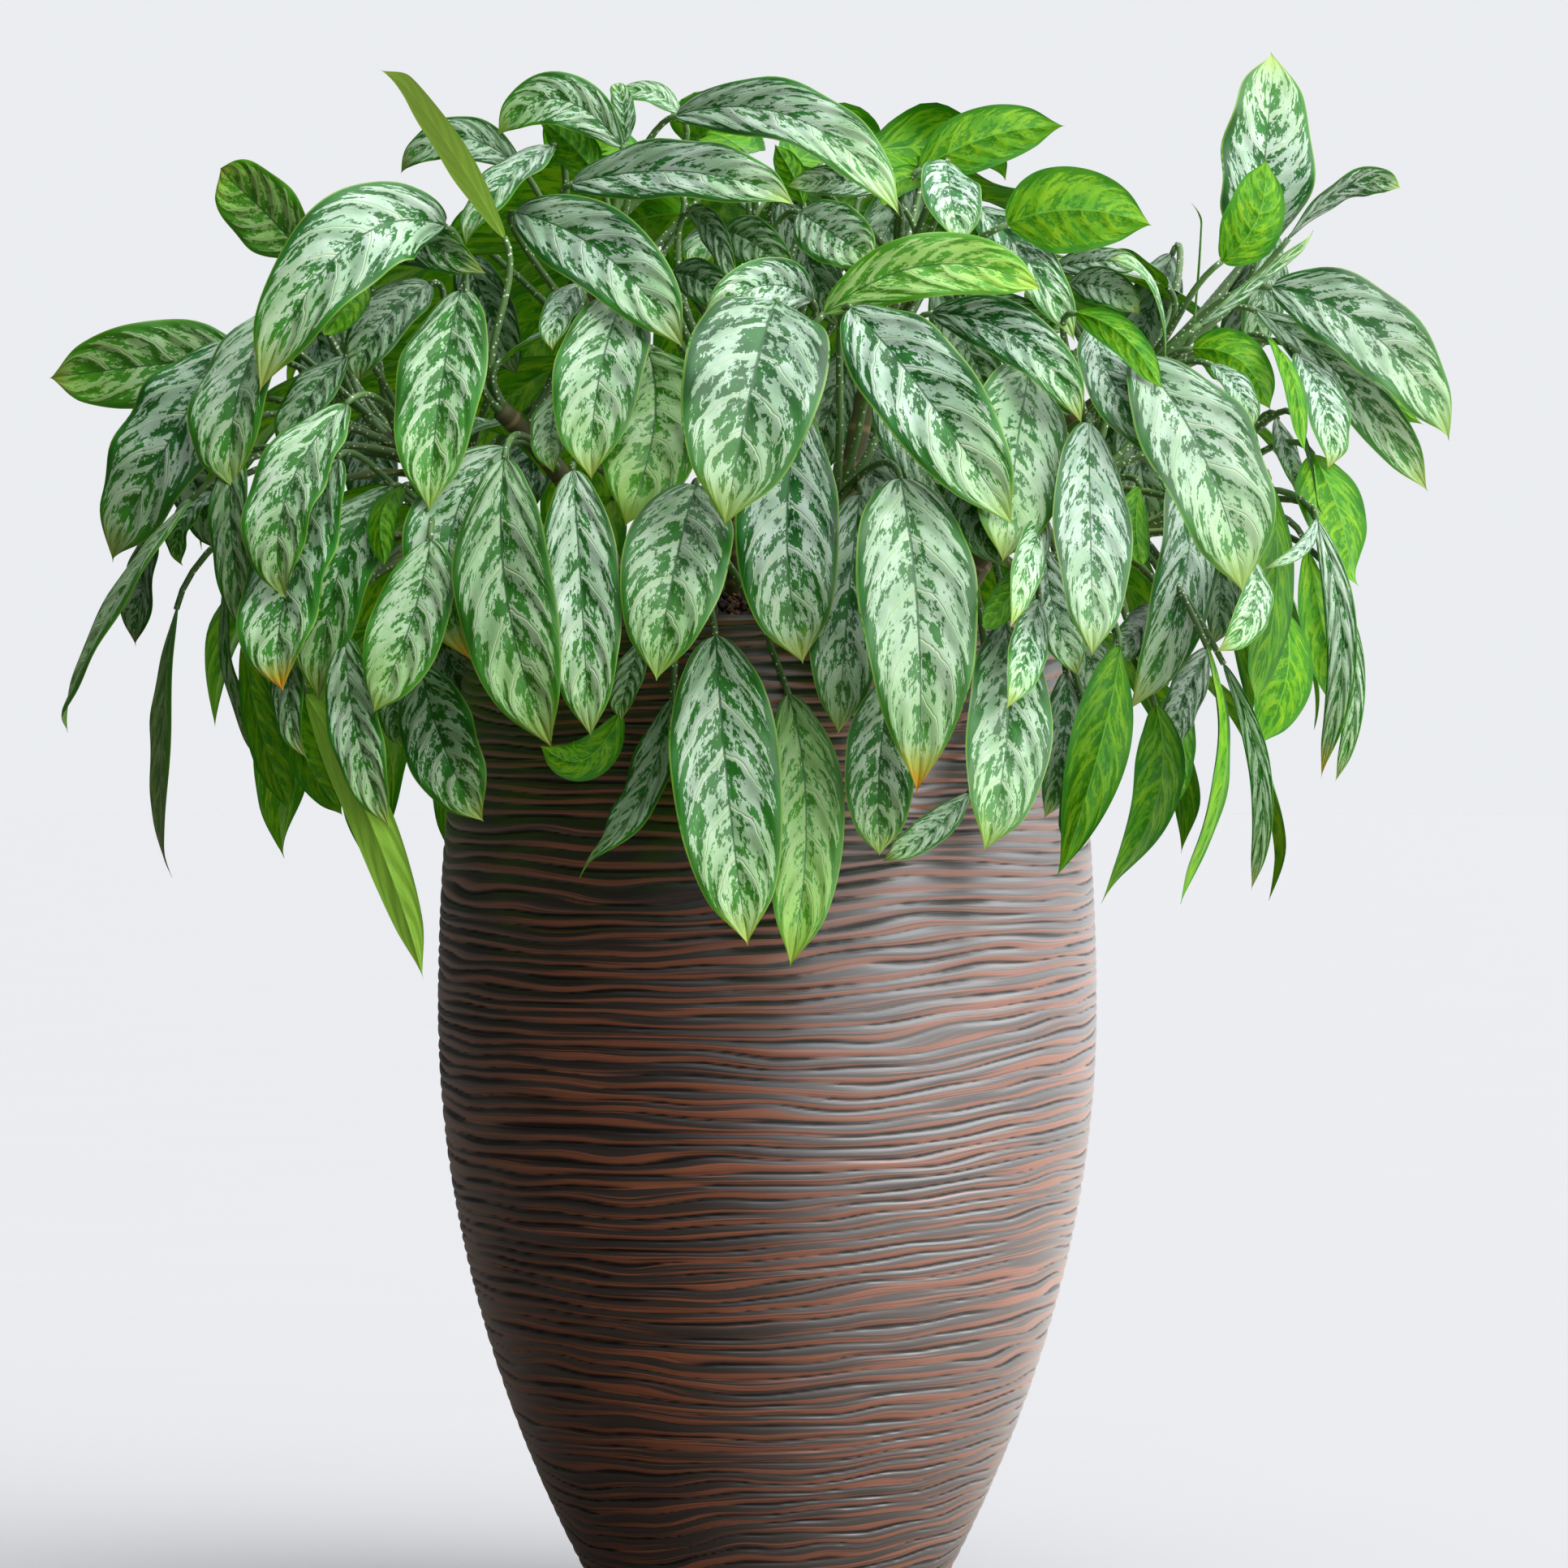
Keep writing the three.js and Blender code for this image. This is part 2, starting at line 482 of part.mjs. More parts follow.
function backForms() {
  const random = seeded(BACK.seed);
  const jitter = (most) => most * (2 * random() - 1);
  const forms = [];
  for (const { count, spread, base, tip } of BACK_ROWS) {
    for (let i = 0; i < count; i++) {
      const angle = radians(180 + mix(-spread, spread, (i + 0.5) / count) + jitter(3));
      const outward = new THREE.Vector3(Math.sin(angle), -Math.cos(angle), 0);
      const lower = jitter(12);
      const from = outward.clone().multiplyScalar(base[1] + jitter(6)).setZ(base[0] + lower);
      const to = outward.clone().multiplyScalar(tip[1] + jitter(8)).setZ(tip[0] + lower + jitter(10));
      from.x *= BACK.acrossScale;
      to.x *= BACK.acrossScale;
      const bow = outward.clone().add(UP).normalize().multiplyScalar(BACK.bow * from.distanceTo(to));
      const middle = from.clone().add(to).multiplyScalar(0.5).add(bow);
      const halfWidth = (BACK.width + jitter(7)) / 2;
      forms.push(leafForm(from, middle, to, halfWidth, outward, BACK.turn + jitter(4)));
    }
  }
  return forms;
}

// ---------------------------------------------------------------- leaves of the middle

function innerForms() {
  return crowns.filter((crown, i) => i % 2 === 0).map(({ top }, i) => {
    const inward = top.clone().setZ(0).negate().normalize();
    inward.applyAxisAngle(UP, radians(i % 2 ? INNER.aside : -INNER.aside));
    const from = top.clone().addScaledVector(UP, INNER.rise + INNER.step * (i % 3));
    const to = from.clone().addScaledVector(inward, INNER.reach).addScaledVector(UP, -INNER.drop);
    const middle = from.clone().add(to).multiplyScalar(0.5).addScaledVector(UP, INNER.bow * INNER.reach);
    return leafForm(from, middle, to, INNER.halfWidth, UP, 0);
  });
}

// ---------------------------------------------------------------- putting the plant together

function nearestCrown(form) {
  const base = form.midrib.getPoint(0);
  const distance = (crown) => base.distanceTo(crown.top.clone().addScaledVector(UP, 30));
  return crowns.reduce((best, crown) => (distance(crown) < distance(best) ? crown : best));
}

const byLayer = FRONT_LEAVES.map((row, place) => ({ row, place })).sort(
  (a, b) => a.row[0] - b.row[0] || a.place - b.place,
);
const forms = [...backForms(), ...innerForms(), ...byLayer.map(({ row }) => layLeaf(row))];
const leaves = forms.map((form) => ({ form, crown: nearestCrown(form) }));

// The lower a leaf hangs, the lower its stalk springs from the cane.
for (const crown of crowns) {
  const own = leaves.filter((leaf) => leaf.crown === crown);
  own.sort((a, b) => a.form.midrib.getPoint(0).z - b.form.midrib.getPoint(0).z);
  own.forEach((leaf, i) => {
    leaf.rootAt = mix(STALK.lowest, STALK.highest, (i + 0.5) / own.length);
    leaf.solid = leafSolid(leaf.form, crown, leaf.rootAt);
    leaf.box = leaf.solid.boundingBox();
  });
}

const pot = planter();
const potRoom = planterRoom();
const canes = crowns.map((crown) => ({ crown, solid: cane(crown), room: cane(crown, SOIL.holeGap) }));
const soil = canes.reduce((heap, { room }) => heap.subtract(room), soilHeap());

function boxesMeet(a, b) {
  return [0, 1, 2].every((i) => a.min[i] < b.max[i] + 1 && b.min[i] < a.max[i] + 1);
}

// The body that still holds on to the crown, when a leaf has been cut back.
function rooted(solid, crown) {
  const pieces = solid.decompose();
  if (pieces.length < 2) return solid;
  const reach = (piece) => {
    const box = piece.boundingBox();
    const centre = new THREE.Vector3(...box.min).add(new THREE.Vector3(...box.max)).multiplyScalar(0.5);
    const half = new THREE.Vector3(...box.max).sub(centre);
    return new THREE.Box3(centre.clone().sub(half), centre.clone().add(half)).distanceToPoint(crown.top);
  };
  return pieces.reduce((best, piece) => (reach(piece) < reach(best) ? piece : best));
}

// Where leaves of two canes would still cross, the one behind is cut back from the one in front of it.
const ROOM = 0.8;
const SIX_WAYS = [[1, 0, 0], [-1, 0, 0], [0, 1, 0], [0, -1, 0], [0, 0, 1], [0, 0, -1]];
leaves.forEach((leaf, i) => {
  const cutters = [];
  for (const other of leaves.slice(i + 1)) {
    if (other.crown === leaf.crown || !boxesMeet(leaf.box, other.box)) continue;
    if (leaf.solid.intersect(other.solid).isEmpty()) continue;
    const room = leafSolid(other.form, other.crown, other.rootAt, ROOM);
    for (const aside of SIX_WAYS) cutters.push(room.translate(aside.map((way) => way * ROOM / 2)));
  }
  for (const { crown, room } of canes) {
    if (crown !== leaf.crown && boxesMeet(leaf.box, room.boundingBox())) cutters.push(room);
  }
  if (boxesMeet(leaf.box, potRoom.boundingBox())) cutters.push(potRoom);
  leaf.solid = cutters.reduce((left, cutter) => left.subtract(cutter), leaf.solid);
  leaf.solid = rooted(leaf.solid, leaf.crown);
});

const GLAZE = new THREE.MeshStandardMaterial({ color: 0x4a2f22, roughness: 0.45, metalness: 0.1 });
const EARTH = new THREE.MeshStandardMaterial({ color: 0x2b1c12, roughness: 0.95, metalness: 0 });
const FOLIAGE = new THREE.MeshStandardMaterial({ color: 0x7fae86, roughness: 0.5, metalness: 0 });

const plant = new THREE.Group();
plant.add(toMesh("planter", pot, GLAZE));
plant.add(toMesh("soil", soil.asOriginal().simplify(0.1), EARTH));
canes.forEach(({ crown, solid }, i) => {
  const own = leaves.filter((leaf) => leaf.crown === crown).map((leaf) => leaf.solid);
  const body = own.reduce((whole, leaf) => whole.add(leaf), solid);
  const number = String(i + 1).padStart(2, "0");
  plant.add(toMesh(`leafy_cane_${number}`, rooted(body, crown), FOLIAGE));
});

export default plant;
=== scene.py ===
# %% [markdown]
# # A potted Chinese evergreen
#
# This lesson dresses a potted plant. The imported model gives the place of each piece: a ribbed planter, the
# soil in it, and seventeen leafy canes. The model's leaves are a few facets each. Here each one gets a smooth
# blade, a stalk and its silver and green figure, and the planter gets its fine combed ridges.
#
# The frame is loaded first.

# %% Load the frame
import math
import random

import bpy
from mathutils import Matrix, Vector, noise


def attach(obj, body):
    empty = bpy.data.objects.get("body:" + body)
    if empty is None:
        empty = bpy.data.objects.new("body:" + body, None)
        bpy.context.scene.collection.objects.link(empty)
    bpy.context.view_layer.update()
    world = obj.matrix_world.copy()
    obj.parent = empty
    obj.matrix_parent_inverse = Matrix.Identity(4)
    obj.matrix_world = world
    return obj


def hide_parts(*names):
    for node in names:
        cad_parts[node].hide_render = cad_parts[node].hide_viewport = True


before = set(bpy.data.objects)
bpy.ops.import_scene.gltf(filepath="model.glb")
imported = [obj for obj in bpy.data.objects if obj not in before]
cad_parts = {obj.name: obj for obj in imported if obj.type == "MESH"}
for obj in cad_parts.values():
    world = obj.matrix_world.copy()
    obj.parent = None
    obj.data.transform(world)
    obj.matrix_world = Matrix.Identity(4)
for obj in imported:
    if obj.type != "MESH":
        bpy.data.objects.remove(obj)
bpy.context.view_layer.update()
MM = 0.001
print("frame nodes:", len(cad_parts))

# %% [markdown]
# ## The view
#
# A plant is known by how its leaves lie over one another, so the leaves of the front are placed by where they
# are seen. The view is taken from far away with a long lens, which keeps near and far leaves at nearly the
# same scale. The camera looks level from the height of the leaves, and a small shift frames the plant without
# tilting it.

# %% Camera
EYE_AWAY = 4500  # mm in front of the planter's axis
EYE_UP = 530
FRAME_WIDTH = 966  # mm of the plane through the planter's axis that the picture takes in
MIDDLE_ACROSS, MIDDLE_UP = 10.25, 512  # mm, the spot of that plane in the middle of the picture

camera_data = bpy.data.cameras.new("camera")
camera_data.lens = camera_data.sensor_width * EYE_AWAY / FRAME_WIDTH
camera_data.shift_x = MIDDLE_ACROSS / FRAME_WIDTH
camera_data.shift_y = (MIDDLE_UP - EYE_UP) / FRAME_WIDTH
camera_data.clip_end = 100  # metres, so that the far floor is taken in
camera = bpy.data.objects.new("camera", camera_data)
camera.location = (0, -EYE_AWAY * MM, EYE_UP * MM)
camera.rotation_euler = (math.radians(90), 0, 0)
bpy.context.scene.collection.objects.link(camera)
bpy.context.scene.camera = camera
print("lens in mm:", round(camera_data.lens, 1))


# %% [markdown]
# A point can then be given as across and up on the plane through the planter's axis, as measured in the view,
# and moved nearer along the line of sight. It keeps its place in the view whatever its depth.

# %% Places in the view
def seen(across, up, depth):
    scale = (EYE_AWAY - depth) / EYE_AWAY
    return Vector((across * scale, -depth, EYE_UP + (up - EYE_UP) * scale))


def in_view(point):
    scale = (EYE_AWAY + point.y) / EYE_AWAY
    return point.x / scale, EYE_UP + (point.z - EYE_UP) / scale, -point.y


# %% [markdown]
# ## Helpers for meshes and nodes
#
# Every piece is made as a list of points and faces, so one small helper turns these into an object that rides
# on the plant's one body. A pot, a heap of soil and a stalk are all rings of points, one after another, so
# they share the rule that joins two rings with faces.

# %% Mesh helpers
def make_piece(name, points, faces, materials, replaced, face_materials=None):
    mesh = bpy.data.meshes.new(name)
    mesh.from_pydata(points, [], faces)
    for material in materials:
        mesh.materials.append(material)
    if face_materials is not None:
        mesh.polygons.foreach_set("material_index", face_materials)
    mesh.polygons.foreach_set("use_smooth", [True] * len(mesh.polygons))
    piece = bpy.data.objects.new(name, mesh)
    bpy.context.scene.collection.objects.link(piece)
    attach(piece, "root")
    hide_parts(replaced)
    return piece


def keep_numbers(piece, name, numbers):
    piece.data.attributes.new(name, "FLOAT", "POINT").data.foreach_set("value", numbers)


def faces_between_rings(start, rings, sides):
    faces = []
    for ring in range(rings - 1):
        low, high = start + ring * sides, start + (ring + 1) * sides
        for side in range(sides):
            after = (side + 1) % sides
            faces.append((low + side, low + after, high + after, high + side))
    return faces


# %% [markdown]
# A finish is a tree of nodes. One helper adds a node with its inputs filled or linked, and the others use it
# for sums, for smooth ramps from one number to another, and for blends of two colours.

# %% Node helpers
def put(tree, kind, inputs=None, **settings):
    node = tree.nodes.new("ShaderNode" + kind)
    for name, value in settings.items():
        setattr(node, name, value)
    for name, value in (inputs or {}).items():
        if isinstance(value, bpy.types.NodeSocket):
            tree.links.new(value, node.inputs[name])
        else:
            node.inputs[name].default_value = value
    return node


def calc(tree, operation, a, b=0.0, c=0.0):
    return put(tree, "Math", {0: a, 1: b, 2: c}, operation=operation).outputs[0]


def ramp(tree, value, low, high, to_low=0.0, to_high=1.0):
    inputs = {0: value, 1: low, 2: high, 3: to_low, 4: to_high}
    return put(tree, "MapRange", inputs, interpolation_type="SMOOTHSTEP").outputs[0]


def blend(tree, share, first, second):
    inputs = {0: share, 6: first, 7: second}
    return put(tree, "Mix", inputs, data_type="RGBA").outputs[2]


def tint(red, green, blue):
    """A colour as a painter's 0 to 255 numbers, made linear for the shader."""
    def linear(value):
        value /= 255
        return value / 12.92 if value <= 0.04045 else ((value + 0.055) / 1.055) ** 2.4

    return linear(red), linear(green), linear(blue), 1.0


def new_group(name, inputs, outputs):
    """A node group of plain numbers: inputs gives each its usual value."""
    group = bpy.data.node_groups.new(name, "ShaderNodeTree")
    for label, value in inputs.items():
        socket = group.interface.new_socket(label, in_out="INPUT", socket_type="NodeSocketFloat")
        socket.default_value = value
    for label in outputs:
        group.interface.new_socket(label, in_out="OUTPUT", socket_type="NodeSocketFloat")
    return group, group.nodes.new("NodeGroupInput").outputs, group.nodes.new("NodeGroupOutput").inputs


def new_material(name, **settings):
    material = bpy.data.materials.new(name)
    material.use_nodes = True
    shader = material.node_tree.nodes["Principled BSDF"]
    for label, value in settings.items():
        shader.inputs[label.replace("_", " ")].default_value = value
    return material, material.node_tree, shader


def number_of(tree, name):
    return put(tree, "Attribute", attribute_name=name).outputs["Fac"]


# %% [markdown]
# ## Planter
#
# The planter is an egg-shaped pot whose wall was combed, while soft, into fine ridges that run round it,
# waver, and here and there join or part. Its outline is one parabola below the widest place and one above it.
# The ridges could be a bump in the material, but they break the outline of the pot, so they are real relief.
# Noise that is read on a circle meets itself after a full turn.

# %% The planter's outline
POT_HEIGHT = 612
POT_BASE_RADIUS = 95
POT_WIDEST_RADIUS = 200.5
POT_WIDEST_HEIGHT = 375
POT_RIM_RADIUS = 180
POT_WALL = 9
POT_ROUNDING = 4  # mm over which the edge of the foot and the lip are rounded


def pot_radius(height):
    below = height < POT_WIDEST_HEIGHT
    end = POT_BASE_RADIUS if below else POT_RIM_RADIUS
    reach = POT_WIDEST_HEIGHT if below else POT_HEIGHT - POT_WIDEST_HEIGHT
    return POT_WIDEST_RADIUS - (POT_WIDEST_RADIUS - end) * ((height - POT_WIDEST_HEIGHT) / reach) ** 2


# %% [markdown]
# Counting ridges up the wall gives each spot a number, its strand: a whole number lies in a groove and a half
# on a crest. Slow noise pushes the count about, so the ridges waver, and where a groove gets shallow for a
# while, two ridges run together.

# %% Combed ridges
RIDGE_PITCH = 7.7
RIDGE_HEIGHT = 2.4
RIDGE_RISE = 6  # mm that a ridge climbs from the middle of the view to its right
RIDGE_SAG = 15  # mm that it lies lower in front than at the sides


def strand_at(angle, height):
    around = Vector((math.cos(angle), math.sin(angle), 0))
    wander = noise.noise(around * 1.1 + Vector((0, 0, height / 110)))
    waver = noise.noise(around * 3.4 + Vector((7, 0, height / 14)))
    level = height - RIDGE_RISE * around.x - RIDGE_SAG * around.y
    return level / RIDGE_PITCH + 1.6 * wander + 0.45 * waver


def crest_share(angle, strand):
    """How far up its ridge a spot is: 0 in a full groove, 1 on the crest."""
    around = Vector((math.cos(angle), math.sin(angle), 0))
    depth = 0.75 + 1.1 * noise.noise(around * 3.0 + Vector((round(strand) * 3.7, 9, 0)))
    swell = math.sin(math.pi * (strand % 1)) ** 0.45
    return 1 - (1 - swell) * max(0.1, min(1.0, depth))


# %% [markdown]
# The mesh has six rings to a ridge. Each point keeps its strand and how far up the ridge it is, so that the
# glaze can follow the ridges.

# %% Planter mesh
POT_SIDES = 400
RING_STEP = 1.25
FADE_OUT = 8  # mm over which the ridges fade out at the foot and at the rim
# The lip and the wall inside it: mm inward of the outline, and mm above the rim.
LIP = [(-0.6, 0.8), (0, 0), (3, 0.2), (POT_WALL, -POT_ROUNDING), (POT_WALL, -34)]


def make_planter():
    turns = [2 * math.pi * i / POT_SIDES for i in range(POT_SIDES)]
    points, strands, crests = [], [], []

    def ring(radius, height, relief=0.0):
        for angle in turns:
            strand = strand_at(angle, height)
            crest = crest_share(angle, strand)
            reach = radius + RIDGE_HEIGHT * crest * relief
            points.append((reach * math.cos(angle) * MM, reach * math.sin(angle) * MM, height * MM))
            strands.append(strand)
            crests.append(crest)

    ring(POT_BASE_RADIUS - POT_ROUNDING, 0)
    for row in range(int((POT_HEIGHT - POT_ROUNDING) / RING_STEP) + 1):
        height = 1 + row * RING_STEP
        fading = min(1, height / FADE_OUT, (POT_HEIGHT - height) / FADE_OUT)
        ring(pot_radius(height), height, fading)
    for inward, height in LIP:
        ring(pot_radius(POT_HEIGHT + height) - inward, POT_HEIGHT + height)
    faces = faces_between_rings(0, len(points) // POT_SIDES, POT_SIDES)
    faces.append(tuple(reversed(range(POT_SIDES))))
    planter = make_piece("planter_ribbed", points, faces, [glaze], "planter")
    keep_numbers(planter, "strand", strands)
    keep_numbers(planter, "crest", crests)
    return planter


# %% [markdown]
# The glaze is a brown so dark that it is nearly black, and in streaks it lets the red-brown clay through. The
# streaks run with the ridges, so their noise is read in a space whose third direction is the strand: slow
# round the pot and quick across the ridges. A clear coat gives the shine. It fades out in the grooves, and
# there the colour goes to a near black, painted shade for the little light that reaches into them. The glaze
# under the coat is a little duller where the clay is bare.

# %% Glaze
glaze, tree, shader = new_material("planter_glaze", Coat_Roughness=0.34, Coat_IOR=1.9)
strand = number_of(tree, "strand")
crest = number_of(tree, "crest")
x_place, y_place, _ = put(tree, "SeparateXYZ", {0: put(tree, "TexCoord").outputs["Object"]}).outputs


def along_ridges(round_scale, strand_scale, detail):
    """Noise that is drawn out along the ridges."""
    place = put(tree, "CombineXYZ", {
        0: calc(tree, "MULTIPLY", x_place, round_scale),
        1: calc(tree, "MULTIPLY", y_place, round_scale),
        2: calc(tree, "MULTIPLY", strand, strand_scale),
    }).outputs[0]
    return put(tree, "TexNoise", {"Vector": place, "Scale": 1.0, "Detail": detail}).outputs[0]


bands = along_ridges(5.0, 0.9, 2.0)
hairs = along_ridges(8.0, 7.0, 4.0)
upward = calc(tree, "SINE", calc(tree, "MULTIPLY", strand, 2 * math.pi))
bare = calc(tree, "MULTIPLY_ADD", bands, 1.4, calc(tree, "MULTIPLY_ADD", hairs, 2.6, -1.9))
bare = ramp(tree, calc(tree, "MULTIPLY_ADD", upward, 0.4, bare), 0.04, 0.42)
clay = blend(tree, hairs, tint(92, 42, 22), tint(160, 88, 46))
dark = blend(tree, hairs, tint(14, 9, 6), tint(44, 29, 21))
colour = blend(tree, bare, dark, clay)
# Painted shade: the grooves go to a near black, as light hardly reaches into them, and the coat fades there.
groove = ramp(tree, crest, 0.86, 0.4)
colour = blend(tree, groove, colour, tint(12, 8, 6))
tree.links.new(colour, shader.inputs["Base Color"])
tree.links.new(ramp(tree, bare, 0.0, 1.0, 0.36, 0.5), shader.inputs["Roughness"])
tree.links.new(ramp(tree, groove, 0.0, 1.0, 1.0, 0.12), shader.inputs["Coat Weight"])
grain = put(tree, "Bump", {"Strength": 0.5, "Distance": 0.0014, "Height": hairs}).outputs[0]
tree.links.new(grain, shader.inputs["Normal"])

planter = make_planter()
print("planter points:", len(planter.data.vertices))

# %% [markdown]
# ## Soil
#
# Potting soil is a loose heap of crumbs, bark and thin roots. Only a little of it shows between the canes, so
# a heaped disc with lumps of noise gives its ground, and crumbs scattered over it break its surface. A number
# on each crumb tells the finish which ones are bark.

# %% Soil
SOIL_CROWN = 632
SOIL_EDGE = 592
SOIL_GAP = 0.3
SOIL_SUNK = 3  # mm that the ground lies lower than the packed soil, which leaves room for the crumbs
SOIL_RINGS, SOIL_SIDES = 60, 160
CRUMBS = 2600
CRUMB_CORNERS = [(1, 0, 0), (0, 1, 0), (-1, 0, 0), (0, -1, 0), (0, 0, 1), (0, 0, -1)]
CRUMB_FACES = [(0, 1, 4), (1, 2, 4), (2, 3, 4), (3, 0, 4), (1, 0, 5), (2, 1, 5), (3, 2, 5), (0, 3, 5)]


def soil_height(share):
    return SOIL_CROWN + (SOIL_EDGE - SOIL_CROWN) * share ** 2 - SOIL_SUNK


def make_soil():
    draw = random.Random(11)
    edge = pot_radius(SOIL_EDGE) - POT_WALL - SOIL_GAP - 1
    points = [(0, 0, soil_height(0) * MM)]
    for ring in range(1, SOIL_RINGS + 1):
        for side in range(SOIL_SIDES):
            angle = 2 * math.pi * side / SOIL_SIDES
            reach = edge * ring / SOIL_RINGS
            x, y = reach * math.cos(angle), reach * math.sin(angle)
            lump = 3.5 * noise.noise(Vector((x, y, 0)) / 16) + 2.2 * noise.noise(Vector((x, y, 40)) / 5)
            points.append((x * MM, y * MM, (soil_height(ring / SOIL_RINGS) + lump) * MM))
    faces = [(0, 1 + side, 1 + (side + 1) % SOIL_SIDES) for side in range(SOIL_SIDES)]
    for a, b, c, d in faces_between_rings(1, SOIL_RINGS, SOIL_SIDES):
        faces.append((a, d, c, b))
    kinds = [0.0] * len(points)
    for _ in range(CRUMBS):
        reach, angle = edge * math.sqrt(draw.random()) * 0.97, draw.uniform(0, 2 * math.pi)
        size = draw.uniform(0.8, 3.2)
        height = soil_height(reach / edge) + draw.uniform(0, 3)
        centre = (reach * math.cos(angle), reach * math.sin(angle), height)
        start = len(points)
        kinds.extend([draw.random()] * len(CRUMB_CORNERS))
        for corner in CRUMB_CORNERS:
            rough = size * draw.uniform(0.6, 1.3)
            points.append(tuple((centre[i] + corner[i] * rough) * MM for i in range(3)))
        faces.extend(tuple(start + i for i in sheet) for sheet in CRUMB_FACES)
    heap = make_piece("soil_heap", points, faces, [earth], "soil")
    keep_numbers(heap, "crumb", kinds)
    return heap


# %% Soil finish
earth, tree, shader = new_material("soil", Roughness=0.95)
spot = put(tree, "TexCoord").outputs["Object"]
grain = put(tree, "TexNoise", {"Vector": spot, "Scale": 260.0, "Detail": 4.0}).outputs[0]
colour = blend(tree, ramp(tree, grain, 0.35, 0.7), tint(26, 18, 14), tint(62, 42, 30))
colour = blend(tree, ramp(tree, number_of(tree, "crumb"), 0.7, 0.9), colour, tint(156, 92, 50))
tree.links.new(colour, shader.inputs["Base Color"])
crumbly = put(tree, "Bump", {"Strength": 0.8, "Distance": 0.002, "Height": grain}).outputs[0]
tree.links.new(crumbly, shader.inputs["Normal"])
soil = make_soil()
print("soil points:", len(soil.data.vertices))

# %% [markdown]
# ## Where the canes and leaves are
#
# Each cane rises from the soil and leans out to its crown, from which the leaf stalks spring. A row of CROWNS
# gives a crown across, up and near, and how far out its foot stands as a share of that. The leaves of the
# front are given one by one, as seen. Those of the back can't be seen together with them, so a rule sets them
# in rows.

# %% Crowns and leaf rows
CROWNS = [
    (-164, 742, 120, 0.45), (-236, 724, 70, 0.35), (246, 776, 30, 0.28), (42, 690, 150, 0.5),
    (205, 700, 95, 0.45), (-118, 838, 10, 0.4), (82, 838, 10, 0.4), (-38, 790, 80, 0.4),
    (-58, 668, 160, 0.55), (128, 664, 130, 0.6), (-196, 664, 95, 0.62), (232, 664, 40, 0.55),
    (196, 700, -110, 0.5), (90, 690, -190, 0.45), (-70, 690, -195, 0.45), (-190, 700, -115, 0.5),
    (0, 780, -90, 0.4),
]

